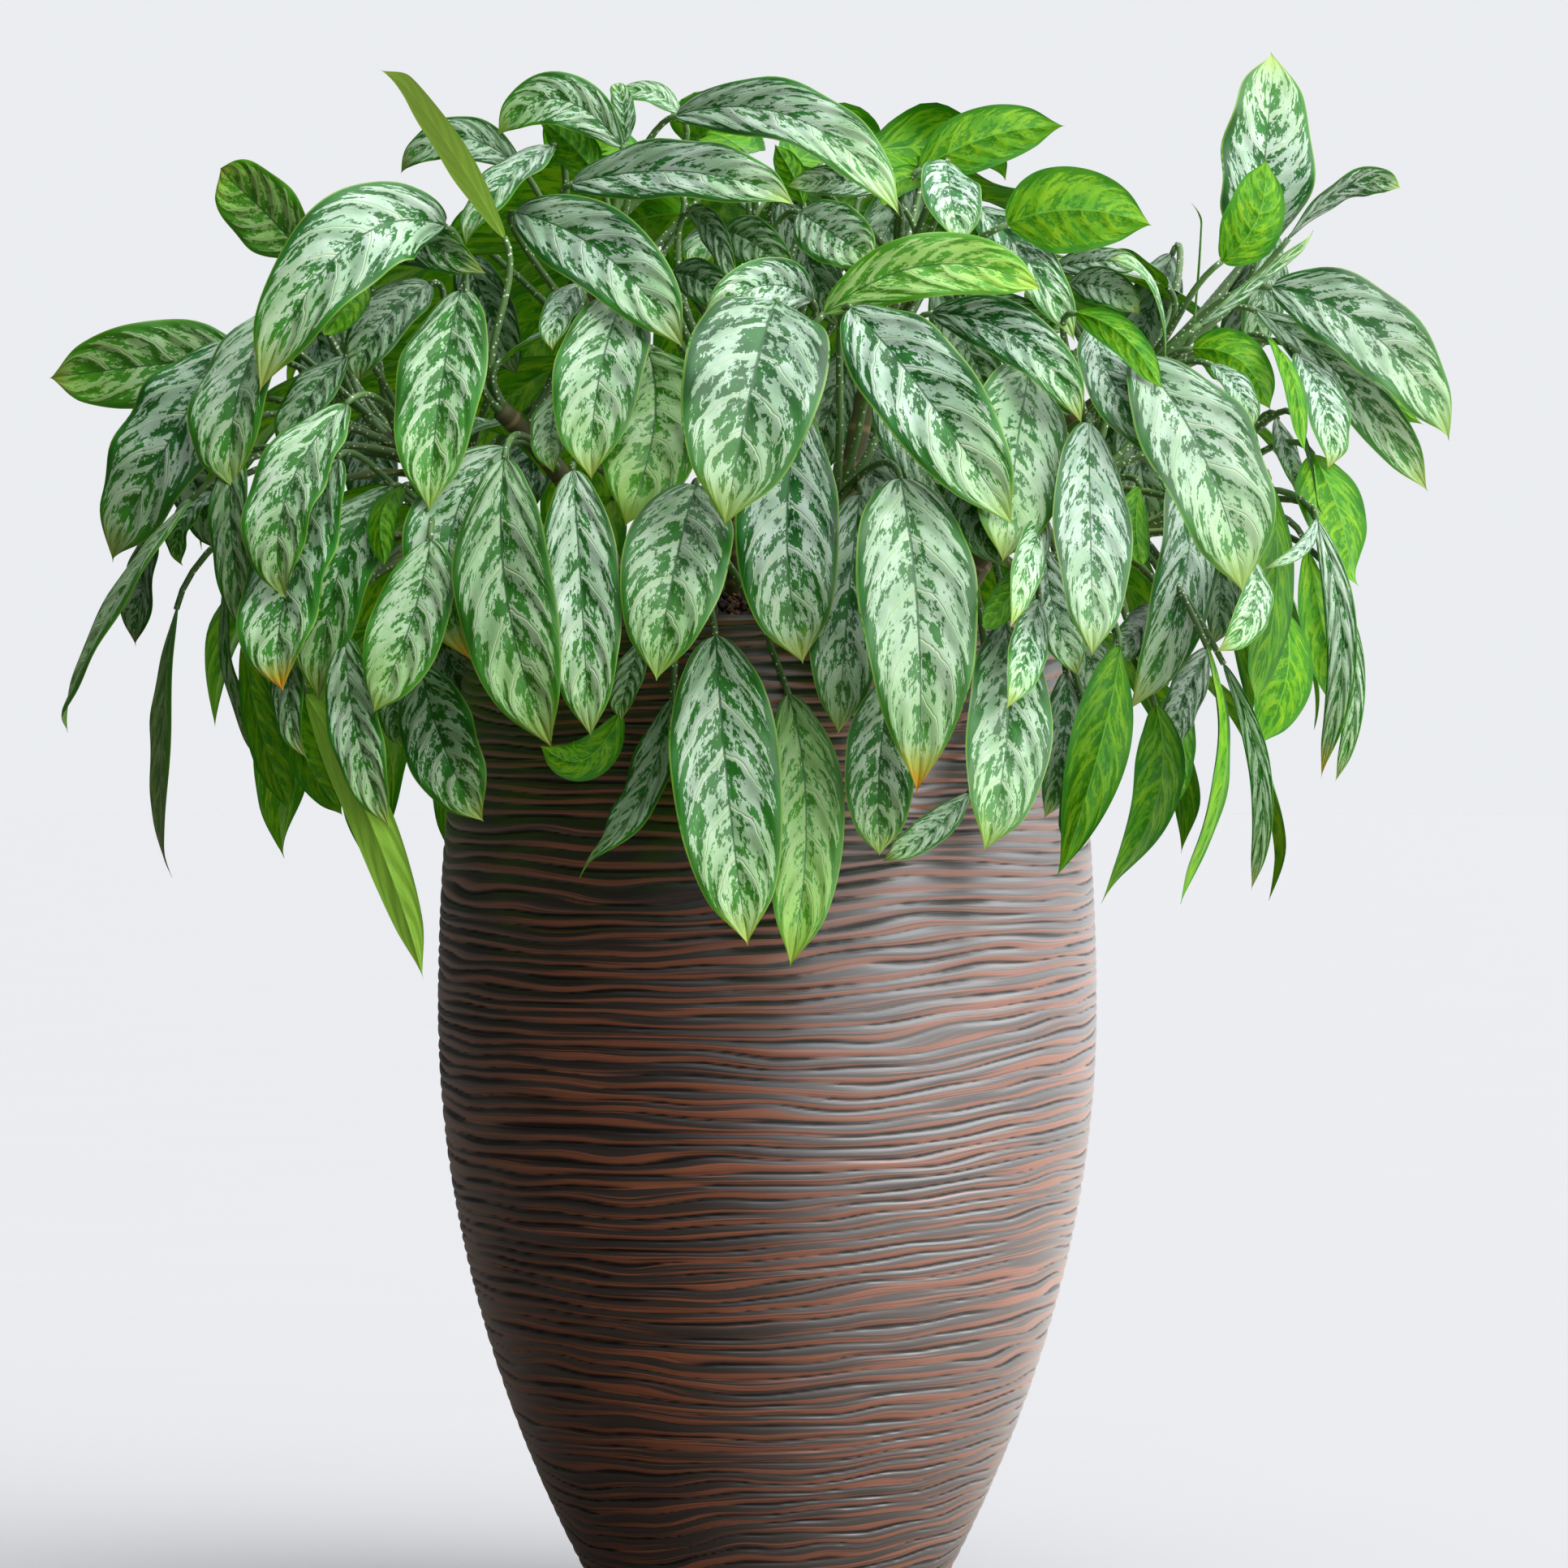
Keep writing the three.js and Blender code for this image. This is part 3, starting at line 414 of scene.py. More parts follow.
# Layer, base across and up, middle across and up, tip across and up, seen width, and turn in degrees.
FRONT_LEAVES = [
    # far left, out over the side
    (2, -323, 776, -380, 770, -444, 762, 54, 0), (3, -328, 784, -367, 725, -408, 649, 58, 0),
    (5, -293, 812, -323, 762, -331, 694, 60, 0), (4, -284, 836, -311, 866, -340, 892, 44, 0),
    (2, -380, 675, -385, 635, -391, 597, 20, 20), (4, -355, 687, -403, 620, -438, 546, 20, 50),
    (3, -342, 692, -360, 672, -362, 646, 18, 20), (4, -364, 620, -373, 545, -373, 454, 15, 50),
    # upper left
    (8, -199, 856, -260, 842, -315, 754, 60, 0), (6, -248, 840, -213, 845, -177, 826, 30, 10),
    (3, -153, 892, -192, 910, -229, 889, 28, 0), (9, -162, 849, -196, 905, -232, 954, 16, 120),
    (6, -90, 905, -130, 934, -168, 911, 34, 0), (5, -133, 905, -163, 882, -188, 845, 30, 30),
    (4, -260, 775, -285, 745, -295, 711, 28, 0), (2, -208, 820, -238, 795, -253, 760, 34, 0),
    (3, -248, 820, -260, 805, -273, 787, 22, 180),
    (3, -105, 887, -120, 905, -138, 920, 26, 180),
    # top
    (3, -54, 925, -75, 939, -98, 931, 14, 50), (4, -88, 907, -89, 930, -95, 946, 14, 30),
    (8, -56, 924, 20, 921, 83, 864, 46, 0), (9, -120, 882, -48, 889, 17, 870, 44, 0),
    (11, -155, 864, -100, 838, -52, 782, 54, 0), (6, -50, 864, -33, 852, -20, 819, 20, 30),
    (5, -26, 852, -8, 845, 17, 822, 30, 0), (5, 20, 864, 42, 850, 66, 834, 40, 0),
    (4, 70, 878, 42, 884, 12, 880, 20, 0), (3, 102, 883, 82, 884, 70, 865, 17, 180),
    (2, 22, 870, 15, 888, 5, 905, 18, 180), (5, -58, 827, -38, 820, -20, 800, 26, 0),
    (4, -115, 820, -128, 802, -133, 780, 22, 0),
    # upper right
    (5, 95, 891, 136, 911, 179, 917, 38, 180), (7, 111, 895, 113, 875, 120, 845, 38, 0),
    (7, 148, 857, 190, 866, 236, 856, 54, 180), (11, 35, 802, 102, 832, 171, 816, 40, 0),
    (6, 130, 867, 160, 835, 190, 785, 32, 0), (3, 177, 830, 205, 834, 232, 831, 18, 0),
    (4, 187, 820, 210, 817, 230, 802, 24, 0), (6, 245, 775, 237, 820, 210, 838, 12, 60),
    (12, 190, 802, 220, 787, 242, 754, 22, 180), (5, 122, 814, 152, 802, 187, 792, 22, 0),
    (10, 102, 802, 157, 785, 195, 735, 36, 0),
    # the crown that stands out at the right
    (5, 301, 838, 306, 895, 313, 964, 57, 0), (8, 280, 834, 302, 861, 306, 896, 38, 180),
    (5, 321, 848, 359, 881, 391, 878, 14, 30), (6, 263, 795, 266, 830, 268, 869, 5, 60),
    (7, 267, 795, 302, 822, 340, 852, 9, 30), (9, 311, 818, 373, 789, 424, 724, 50, 0),
    (6, 347, 775, 374, 756, 401, 733, 16, 180), (7, 302, 803, 357, 759, 408, 691, 30, 0),
    (7, 327, 777, 343, 745, 348, 706, 28, 0), (8, 309, 786, 324, 760, 329, 715, 14, 180),
    (6, 262, 780, 292, 772, 308, 742, 34, 180), (7, 274, 770, 290, 755, 300, 730, 18, 0),
    # right side, hanging
    (12, 227, 775, 267, 717, 295, 630, 68, 0), (8, 202, 795, 215, 755, 250, 712, 36, 0),
    (4, 314, 737, 320, 715, 327, 695, 16, 0), (4, 336, 715, 353, 675, 359, 634, 44, 180),
    (6, 326, 737, 336, 707, 339, 677, 13, 130), (8, 338, 675, 354, 595, 338, 516, 20, 50),
    (6, 352, 632, 362, 570, 349, 512, 13, 40), (5, 333, 655, 344, 600, 356, 557, 24, 180),
    (8, 338, 675, 329, 657, 308, 646, 9, 20), (7, 309, 700, 313, 630, 297, 561, 28, 180),
    (5, 317, 620, 320, 580, 303, 537, 38, 180), (6, 279, 675, 279, 635, 277, 597, 26, 0),
    (7, 299, 650, 299, 620, 278, 593, 24, 0), (7, 281, 586, 304, 515, 297, 446, 14, 60),
    (8, 271, 596, 281, 520, 251, 440, 17, 130), (9, 239, 560, 239, 500, 203, 441, 34, 180),
    (6, 257, 570, 249, 530, 247, 495, 32, 180), (7, 272, 595, 254, 560, 247, 530, 24, 0),
    (6, 242, 622, 227, 605, 212, 590, 24, 0), (5, 229, 695, 227, 670, 231, 645, 20, 180),
    (11, 256, 711, 257, 640, 225, 555, 40, 0), (11, 217, 596, 205, 535, 180, 454, 36, 180),
    # front, right of the middle
    (12, 52, 805, 97, 752, 152, 671, 64, 0), (8, 162, 771, 153, 715, 146, 650, 64, 0),
    (10, 198, 734, 199, 665, 201, 591, 50, 0), (9, 172, 675, 161, 650, 152, 610, 22, 0),
    (8, 158, 645, 147, 625, 131, 607, 20, 180), (8, 167, 625, 160, 595, 151, 562, 26, 0),
    (7, 172, 655, 177, 617, 193, 579, 30, 0), (14, 82, 700, 93, 610, 93, 506, 74, 0),
    (7, 124, 707, 129, 677, 148, 647, 36, 0), (4, 67, 755, 92, 715, 117, 675, 32, 0),
    (9, 57, 690, 49, 615, 44, 542, 50, 0), (10, 77, 577, 69, 522, 70, 467, 44, 0),
    (8, 124, 506, 99, 482, 72, 466, 20, 20), (10, 147, 610, 148, 545, 135, 471, 54, 0),
    (8, 197, 530, 191, 500, 187, 469, 25, 0), (6, 184, 580, 182, 535, 172, 490, 26, 0),
    # front, middle and left of it
    (13, 5, 809, -9, 760, -26, 671, 88, 0), (10, 27, 810, -3, 819, -40, 798, 34, 0),
    (12, 20, 742, 12, 665, 22, 586, 64, 0), (11, -44, 696, -57, 645, -69, 576, 66, 0),
    (6, -73, 777, -70, 730, -88, 672, 64, 0), (7, -86, 817, -103, 765, -109, 700, 56, 0),
    (11, -189, 816, -201, 755, -209, 680, 54, 0), (9, -162, 719, -195, 665, -184, 587, 56, 0),
    (12, -162, 712, -160, 625, -133, 533, 62, 0), (8, -120, 705, -114, 622, -110, 540, 50, 0),
    (6, -128, 755, -133, 730, -133, 706, 26, 0), (6, -78, 600, -86, 575, -91, 552, 20, 20),
    (9, -59, 564, -80, 500, -119, 459, 30, 40), (13, -32, 603, -24, 507, -12, 412, 68, 0),
    (12, 13, 567, 24, 490, 14, 399, 47, 0), (5, -91, 555, -113, 527, -140, 537, 26, 180),
    # front left, hanging low
    (10, -260, 746, -296, 690, -299, 626, 47, 0), (8, -265, 712, -295, 637, -301, 570, 54, 0),
    (7, -233, 695, -263, 645, -279, 562, 48, 0), (5, -328, 725, -330, 665, -318, 595, 26, 0),
    (3, -334, 642, -328, 570, -303, 522, 17, 40), (3, -323, 600, -310, 540, -292, 497, 24, 180),
    (3, -293, 570, -285, 530, -260, 493, 26, 180), (6, -284, 567, -245, 490, -211, 392, 28, 180),
    (7, -260, 602, -253, 545, -234, 484, 34, 0), (9, -208, 662, -220, 610, -244, 555, 48, 0),
    (8, -213, 582, -200, 537, -177, 488, 48, 0), (5, -290, 625, -295, 575, -288, 529, 24, 0),
    (8, -225, 695, -238, 675, -233, 645, 20, 180), (5, -223, 585, -230, 560, -226, 535, 18, 0),
]

# How many leaves, how far round they spread to each side in degrees, and the height and the reach of their
# bases and of their tips.
BACK_ROWS = [
    (9, 80, (610, 205), (455, 272)),
    (10, 90, (695, 190), (550, 292)),
    (9, 92, (772, 160), (645, 290)),
    (8, 92, (836, 110), (748, 250)),
    (6, 80, (872, 60), (818, 190)),
    (4, 80, (900, 40), (905, 140)),
]
print("leaves:", len(FRONT_LEAVES), "in front,", sum(row[0] for row in BACK_ROWS), "behind")


# %% [markdown]
# ## Curves
#
# A midrib is a curve through three points, and a stalk or cane one through its ends that is pulled towards
# handles. A short step along the curve gives its direction.

# %% Curves
def curve_through(base, middle, tip):
    control = middle * 2 - base * 0.5 - tip * 0.5
    return base, control, tip


def point_on(handles, t):
    points = list(handles)
    while len(points) > 1:
        points = [a * (1 - t) + b * t for a, b in zip(points, points[1:])]
    return points[0]


def along(handles, t):
    step = 1e-4
    return (point_on(handles, min(1, t + step)) - point_on(handles, max(0, t - step))).normalized()


# %% [markdown]
# A cane stands in the soil, rises almost straight while it is inside the planter, and bends out to its crown
# above the rim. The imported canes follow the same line.

# %% Canes
FOOT_HEIGHT = SOIL_EDGE - 55
STIFF_HEIGHT = 665  # no cane bends out below this height
BEND_BELOW_CROWN = 12
BEND_OUT = 0.04  # how much further out than its foot a cane bends, as a share of how far out its crown is


def cane_line(across, up, depth, foot_share):
    top = seen(across, up, depth)
    foot = Vector((top.x * foot_share, top.y * foot_share, FOOT_HEIGHT))
    lean = foot_share + BEND_OUT
    bend = Vector((top.x * lean, top.y * lean, min(STIFF_HEIGHT, top.z - BEND_BELOW_CROWN)))
    return foot, bend, top


canes = [cane_line(*row) for row in CROWNS]
print("canes:", len(canes))

# %% [markdown]
# ## A leaf's form
#
# The blade's half width follows a table of shares from base to tip, smoothed by a curve. Across the midrib
# the two halves fold up a little, less where the leaf is seen more from the side. A leaf faces a given way
# and may be turned about its midrib; turned past a right angle it shows its underside.

# %% Leaf form
OUTLINE = [
    (0, 0.05), (0.1, 0.6), (0.24, 0.91), (0.4, 1), (0.58, 0.94),
    (0.74, 0.75), (0.87, 0.46), (0.96, 0.17), (1, 0),
]
WIDEST_AT = 0.4
FOLD = 0.2  # how far the halves fold up, as a share of the width
BOW = 0.1  # how far the midrib bows out, as a share of the leaf's length
MOST_HALF_WIDTH = 45


def width_share(t):
    for (t0, w0), (t1, w1) in zip(OUTLINE, OUTLINE[1:]):
        if t <= t1:
            return w0 + (w1 - w0) * (t - t0) / (t1 - t0)
    return 0.0


def leaf_form(midrib, half_width, facing, turn):
    fold = FOLD * math.cos(math.radians(turn)) ** 2
    return {"midrib": midrib, "half": half_width, "facing": facing, "turn": math.radians(turn), "fold": fold}


def turned(vector, axis, angle):
    return vector * math.cos(angle) + axis.cross(vector) * math.sin(angle)


def leaf_frame(form, t):
    direction = along(form["midrib"], t)
    across = form["facing"].cross(direction).normalized()
    face = direction.cross(across).normalized()
    return (
        point_on(form["midrib"], t),
        direction,
        turned(across, direction, form["turn"]),
        turned(face, direction, form["turn"]),
    )


# %% [markdown]
# ## Laying the front leaves
#
# Leaves are laid as a florist would lay them: the rearmost first, and each over those already there. A map of
# the view, in small squares, keeps how near the pot and the laid leaves come. A new leaf is lifted at its
# base, and then tilted, by just as much as it needs to lie clear of all of them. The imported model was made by
# this same rule.

# %% The map of what is laid
CELL = 8  # mm, the side of a square
CELLS_PER_ROW = 4096
GAP = 5  # mm between a leaf and what lies under it
MOST_LIFT = 70
BASE_SHARE = 0.3  # the part of a leaf that counts as its base
POT_ALLOWANCE = 7.8  # mm round the pot's plain outline, for its ridges and a gap
# Before it is lifted, a leaf lies on a dome: its middle height, half its width, how far it reaches above and
# below that height, how near it comes, and how far leaves at its side turn away, in degrees.
DOME_MIDDLE = 620
DOME_HALF_WIDTH = 430
DOME_ABOVE = 320
DOME_BELOW = 640
DOME_DEPTH = 235
DOME_TURN = 42
nearest = {}


def square(across, up):
    return math.floor(across / CELL + 0.5) * CELLS_PER_ROW + math.floor(up / CELL + 0.5)


def cover(point):
    across, up, depth = in_view(point)
    key = square(across, up)
    nearest[key] = max(depth, nearest.get(key, -math.inf))


for height in range(0, POT_HEIGHT + 1, CELL // 2):
    radius = pot_radius(height) + POT_ALLOWANCE
    for degrees in range(-90, 91):
        angle = math.radians(degrees)
        cover(Vector((radius * math.sin(angle), -radius * math.cos(angle), height)))
print("squares covered by the pot:", len(nearest))


# %% Lay one leaf
TEST_STEPS, TEST_SIDES = 24, 4  # how finely a leaf is set against the map, along it and to each side
BASE_ON_DOME, TIP_ON_DOME = 0.8, 0.95  # how near base and tip come, as shares of the dome's depth
TIP_OUT = 12


def blade_points(form):
    for i in range(TEST_STEPS + 1):
        t = i / TEST_STEPS
        place, _, across, face = leaf_frame(form, t)
        for j in range(-TEST_SIDES, TEST_SIDES + 1):
            reach = form["half"] * width_share(t) * j / TEST_SIDES
            yield place + across * reach + face * abs(reach) * form["fold"], t


def dome_depth(across, up):
    high = (up - DOME_MIDDLE) / (DOME_ABOVE if up > DOME_MIDDLE else DOME_BELOW)
    return DOME_DEPTH * max(0, 1 - (across / DOME_HALF_WIDTH) ** 2 - high ** 2)


def front_form(row, base_lift, tip_lift):
    _, base_across, base_up, middle_across, middle_up, tip_across, tip_up, width, turn = row
    length = math.hypot(tip_across - base_across, tip_up - base_up)
    base_depth = BASE_ON_DOME * dome_depth(base_across, base_up) + base_lift
    tip_depth = TIP_ON_DOME * dome_depth(tip_across, tip_up) + TIP_OUT + base_lift + tip_lift
    middle_depth = (base_depth + tip_depth) / 2 + BOW * length
    sideways = math.radians(DOME_TURN * (middle_across / DOME_HALF_WIDTH))
    midrib = curve_through(
        seen(base_across, base_up, base_depth),
        seen(middle_across, middle_up, middle_depth),
        seen(tip_across, tip_up, tip_depth),
    )
    form = leaf_form(midrib, 1, Vector((math.sin(sideways), -math.cos(sideways), 0)), turn)
    place, _, across, face = leaf_frame(form, WIDEST_AT)
    share = width_share(WIDEST_AT)
    sides = [in_view(place + across * share * way + face * share * form["fold"]) for way in (-1, 1)]
    seen_width = math.hypot(sides[1][0] - sides[0][0], sides[1][1] - sides[0][1])
    form["half"] = min(MOST_HALF_WIDTH, width / seen_width)
    return form


def lay_leaf(row):
    shortfalls = []
    for point, t in blade_points(front_form(row, 0, 0)):
        across, up, depth = in_view(point)
        there = nearest.get(square(across, up))
        if there is not None:
            shortfalls.append((t, there + GAP - depth))
    at_base = [need for t, need in shortfalls if t <= BASE_SHARE]
    base_lift = min(MOST_LIFT, max([0, *at_base]))
    beyond = [(need - base_lift) / t for t, need in shortfalls if t > BASE_SHARE]
    tip_lift = min(MOST_LIFT, max([0, *beyond]))
    form = front_form(row, base_lift, tip_lift)
    for point, _ in blade_points(form):
        cover(point)
    return form


# %% [markdown]
# ## Leaves of the back and the middle
#
# Behind, the leaves hang in rows like tiles on a dome. Each stands at an even step round the pot, with a
# small seeded shift, so that the rows don't look ruled and come out the same on each run. A few short leaves
# over the crowns close the middle when the plant is seen from above.

# %% Back leaves
BACK_WIDTH = 60
BACK_TURN = 12
BACK_BOW = 0.16
BACK_ACROSS_SCALE = 1.22
BACK_SEED = 23
MULTIPLIER, MODULUS = 16807, 2147483647
UP = Vector((0, 0, 1))


def shifts(seed):
    """Numbers from -1 to 1 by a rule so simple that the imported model's source can follow it as well."""
    state = seed
    while True:
        state = (state * MULTIPLIER) % MODULUS
        yield 2 * state / MODULUS - 1


def back_forms():
    """The rows behind. A shift is in degrees for a leaf's place round the pot and its turn, and else in mm."""
    shift = shifts(BACK_SEED)
    forms = []
    for count, spread, base, tip in BACK_ROWS:
        for i in range(count):
            angle = math.radians(180 - spread + 2 * spread * (i + 0.5) / count + 3 * next(shift))
            outward = Vector((math.sin(angle), -math.cos(angle), 0))
            lower = 12 * next(shift)
            start = outward * (base[1] + 6 * next(shift))
            start = Vector((start.x * BACK_ACROSS_SCALE, start.y, base[0] + lower))
            end = outward * (tip[1] + 8 * next(shift))
            end = Vector((end.x * BACK_ACROSS_SCALE, end.y, tip[0] + lower + 10 * next(shift)))
            bow = (outward + UP).normalized() * (BACK_BOW * (start - end).length)
            midrib = curve_through(start, (start + end) / 2 + bow, end)
            half_width = (BACK_WIDTH + 7 * next(shift)) / 2
            forms.append(leaf_form(midrib, half_width, outward, BACK_TURN + 4 * next(shift)))
    return forms


# %% Middle leaves
MIDDLE_LENGTH = 100
MIDDLE_HALF_WIDTH = 24
MIDDLE_ASIDE = 28  # degrees that each points past the planter's axis, to one side and the other in turn
MIDDLE_ARCH, MIDDLE_DROP = 22, 12


def middle_forms():
    forms = []
    for i, (_, _, top) in enumerate(canes[::2]):
        aside = math.radians(MIDDLE_ASIDE if i % 2 else -MIDDLE_ASIDE)
        inward = turned(Vector((-top.x, -top.y, 0)).normalized(), UP, aside)
        start = top + UP * (30 + 12 * (i % 3))
        end = start + inward * MIDDLE_LENGTH - UP * MIDDLE_DROP
        midrib = curve_through(start, (start + end) / 2 + UP * MIDDLE_ARCH, end)
        forms.append(leaf_form(midrib, MIDDLE_HALF_WIDTH, UP, 0))
    return forms


# %% [markdown]
# Between the grown leaves, small young ones stand about the crowns. Each is given by where its middle is
# seen, and leans a little one way or the other.

# %% Young leaves
YOUNG = [
    (37, 737), (234, 799), (123, 781), (292, 797), (-148, 705), (27, 831), (66, 699), (230, 706),
    (-171, 802), (-275, 778), (213, 724), (198, 585), (-194, 585), (-350, 692), (-243, 700), (305, 812),
    (73, 852), (268, 699),
]
YOUNG_LENGTH = 78
YOUNG_HALF_WIDTH = 17


def young_forms():
    draw = random.Random(4)
    forms = []
    for across, up in YOUNG:
        lean, depth = draw.uniform(-22, 22), draw.uniform(-45, -10)
        start = seen(across - lean, up + YOUNG_LENGTH / 2, depth - 15)
        end = seen(across + lean, up - YOUNG_LENGTH / 2, depth)
        midrib = curve_through(start, (start + end) / 2 - Vector((0, 8, 0)), end)
        facing = Vector((across / 600, -1, 0.3)).normalized()
        form = leaf_form(midrib, YOUNG_HALF_WIDTH, facing, draw.uniform(-20, 20))
        form["young"] = True
        forms.append(form)
    return forms


# %% Lay them all
in_order = sorted(range(len(FRONT_LEAVES)), key=lambda place: (FRONT_LEAVES[place][0], place))
forms = back_forms() + middle_forms()
for place in in_order:
    form = lay_leaf(FRONT_LEAVES[place])
    form["row"] = place
    forms.append(form)
forms += young_forms()
print("leaves laid:", len(forms))

# %% [markdown]
# ## Which cane a leaf grows on
#
# A leaf belongs to the crown nearest to its base, counted from a little above the crown, because stalks rise.
# On each cane the lowest leaf springs lowest.

# %% Share the leaves out
STALK_LOWEST, STALK_HIGHEST = 0.74, 0.99  # how far up its cane, as shares of it
ABOVE_CROWN = 30


def nearest_cane(form):
    base = form["midrib"][0]
    return min(range(len(canes)), key=lambda i: (base - canes[i][2] - UP * ABOVE_CROWN).length)


for form in forms:
    form["cane"] = nearest_cane(form)
for number in range(len(canes)):
    own = sorted((form for form in forms if form["cane"] == number), key=lambda form: form["midrib"][0].z)
    for i, form in enumerate(own):
        form["root"] = STALK_LOWEST + (STALK_HIGHEST - STALK_LOWEST) * (i + 0.5) / len(own)
print("leaves on each cane:", [sum(form["cane"] == i for form in forms) for i in range(len(canes))])


# %% [markdown]
# A stalk leaves its cane upward and outward, arches over, and comes into the blade in line with the midrib.

# %% Stalk curve
STALK_ARCH = 0.42
STALK_REACH = 0.3
STALK_OUTWARD = 0.8


def stalk_line(form):
    cane = canes[form["cane"]]
    root = point_on(cane, form["root"])
    base = form["midrib"][0]
    length = (base - root).length
    sideways = Vector((base.x - root.x, base.y - root.y, 0)).normalized() * STALK_OUTWARD
    rise = ((along(cane, 1) + UP) * 0.5 + sideways).normalized()
    into = base - along(form["midrib"], 0) * (length * STALK_REACH)
    return root, root + rise * (length * STALK_ARCH), into, base


# %% [markdown]
# ## Blades
#
# A blade is two skins, the upper and the lower, that meet at the margin: each has its own finish, and a thin
# solid leaf looks right from behind as well. The skins start from the leaf's form and get what the eye
# expects of this leaf: a rounded base, halves that swell between midrib and margin, a margin that waves and
# rolls down, a slight twist, a groove over the midrib and a ridge under it, and a drawn-out tip that hooks
# down.

# %% Blade shape
LENGTH_STEPS = 44
SIDE_STATIONS = (0.0, 0.05, 0.13, 0.27, 0.43, 0.59, 0.74, 0.86, 0.94, 1.0)
ACROSS = tuple(-s for s in reversed(SIDE_STATIONS[1:])) + SIDE_STATIONS
THICKNESS = 0.7
WAVE = 0.085
ROLL, ROLL_FROM, ROLL_SPAN = 0.07, 0.7, 0.3  # how far the margin rolls down, and over which part of the half
HOOK = 6
TIP_FROM, TIP_SPAN = 0.84, 0.16  # the part of the length in which the tip is drawn out and hooks down
TIP_DRAWN = 1.45
STILL_AT = 0.3  # the place along a leaf from which it twists both ways
EDGE_ON_TURN, EDGE_ON_CALM = 0.8, 0.25  # a leaf turned further than this, in radians, waves and twists less
RIB_WIDTH, RIB_GROOVE, RIB_RIDGE = 0.06, 0.35, 0.9  # a share of the half width, then mm above and below

# Front leaves that stand out, by their row in FRONT_LEAVES, counted from 0. In OWN_OUTLINE the first number,
# above 1, moves the widest place towards the tip, and the second, below 1, makes the leaf fuller. TWISTED
# gives the turn of a hanging leaf along its length, and OPENED the turn of a whole leaf that shows more of
# its face to the eye or to the light than its row says, both in degrees.
OWN_OUTLINE = {54: (1.25, 0.75), 69: (1.1, 1.2), 75: (1.1, 1.25), 83: (0.95, 1.1)}
TWISTED = {49: 45, 57: -50, 59: 40, 69: -75, 75: 70, 104: 50}
OPENED = {5: -4, 7: -8, 10: 14, 11: 16, 12: 10, 20: -25, 21: -27, 22: -16, 98: -6}


def smooth_width(t):
    """The outline's share at t, on a curve that passes smoothly through the table."""
    if t < OUTLINE[1][0]:
        return OUTLINE[1][1] * (0.06 + 0.94 * math.sqrt(t / OUTLINE[1][0]))
    knots = [*OUTLINE, (1.04, 0.0)]
    for i in range(1, len(knots) - 2):
        (t0, w0), (t1, w1), (t2, w2), (t3, w3) = knots[i - 1:i + 3]
        if t <= t2:
            span = t2 - t1
            u = (t - t1) / span
            slope1, slope2 = (w2 - w0) / (t2 - t0) * span, (w3 - w1) / (t3 - t1) * span
            near = (2 * u ** 3 - 3 * u * u + 1) * w1 + (u ** 3 - 2 * u * u + u) * slope1
            return max(0.0, near + (3 * u * u - 2 * u ** 3) * w2 + (u ** 3 - u * u) * slope2)
    return 0.0


# The rows of a blade lie closer together at its base and tip.
STEPS = [u - 0.08 * math.sin(2 * math.pi * u) for u in (i / LENGTH_STEPS for i in range(LENGTH_STEPS + 1))]


def blade_skins(form, draw):
    """The points of the upper skin, then of the lower, row by row from base to tip."""
    upper, lower = [], []
    waves = [(draw.uniform(1.6, 3.4), draw.uniform(0, 6.3)) for _ in range(2)]
    swell = draw.uniform(0.25, 0.5)
    hook = HOOK * draw.uniform(0.3, 1.3)
    calm = EDGE_ON_CALM if abs(form["turn"]) > EDGE_ON_TURN else 1
    row = form.get("row")
    twist = math.radians(draw.uniform(-6, 6)) * calm + math.radians(TWISTED.get(row, 0))
    opened = math.radians(OPENED.get(row, 0))
    further, fuller = OWN_OUTLINE.get(row, (draw.uniform(1.0, 1.15), draw.uniform(0.72, 0.92)))
    for t in STEPS:
        near_tip = max(0, (t - TIP_FROM) / TIP_SPAN)
        drawn = (TIP_DRAWN - fuller) * near_tip ** 1.4
        width = smooth_width(t ** further) ** (fuller + drawn if t > WIDEST_AT else 1)
        place, direction, across, face = leaf_frame(form, t)
        spin = opened + twist * (t - STILL_AT)
        across, face = turned(across, direction, spin), turned(face, direction, spin)
        place = place - face * hook * near_tip ** 2
        for s in ACROSS:
            side = abs(s)
            reach = form["half"] * width * s
            count, phase = waves[s > 0]
            wave = math.sin(2 * math.pi * count * t + phase) * math.sin(math.pi * t) ** 0.5
            near_margin = max(0, (side - ROLL_FROM) / ROLL_SPAN)
            rolled = WAVE * calm * side ** 2 * wave - ROLL * width * near_margin ** 2
            lift = abs(reach) * form["fold"] * (1 + swell * (1 - side)) + form["half"] * rolled
            rib = math.exp(-(side / RIB_WIDTH) ** 2) * (1 - 0.75 * t)
            middle = place + across * reach + face * lift
            thick = THICKNESS * (1 - side ** 4) * min(1, 8 * (1 - t))
            upper.append(middle + face * (thick * 0.5 - RIB_GROOVE * rib))
            lower.append(middle - face * (thick * 0.5 + RIB_RIDGE * rib))
    return upper + lower


# %% [markdown]
# The blades of a cane are one piece. Each point of a blade keeps its place on it, across and along, so that
# the finish can draw the leaf's figure, and the numbers that make its look its own.

# %% Blades of one cane
def blade_faces():
    columns = len(ACROSS)
    rows = LENGTH_STEPS + 1
    upper, lower = [], []
    for row in range(LENGTH_STEPS):
        for column in range(columns - 1):
            a = row * columns + column
            quad = (a, a + 1, a + columns + 1, a + columns)
            upper.append(quad)
            lower.append(tuple(rows * columns + i for i in reversed(quad)))
    return upper, lower


UPPER_FACES, LOWER_FACES = blade_faces()


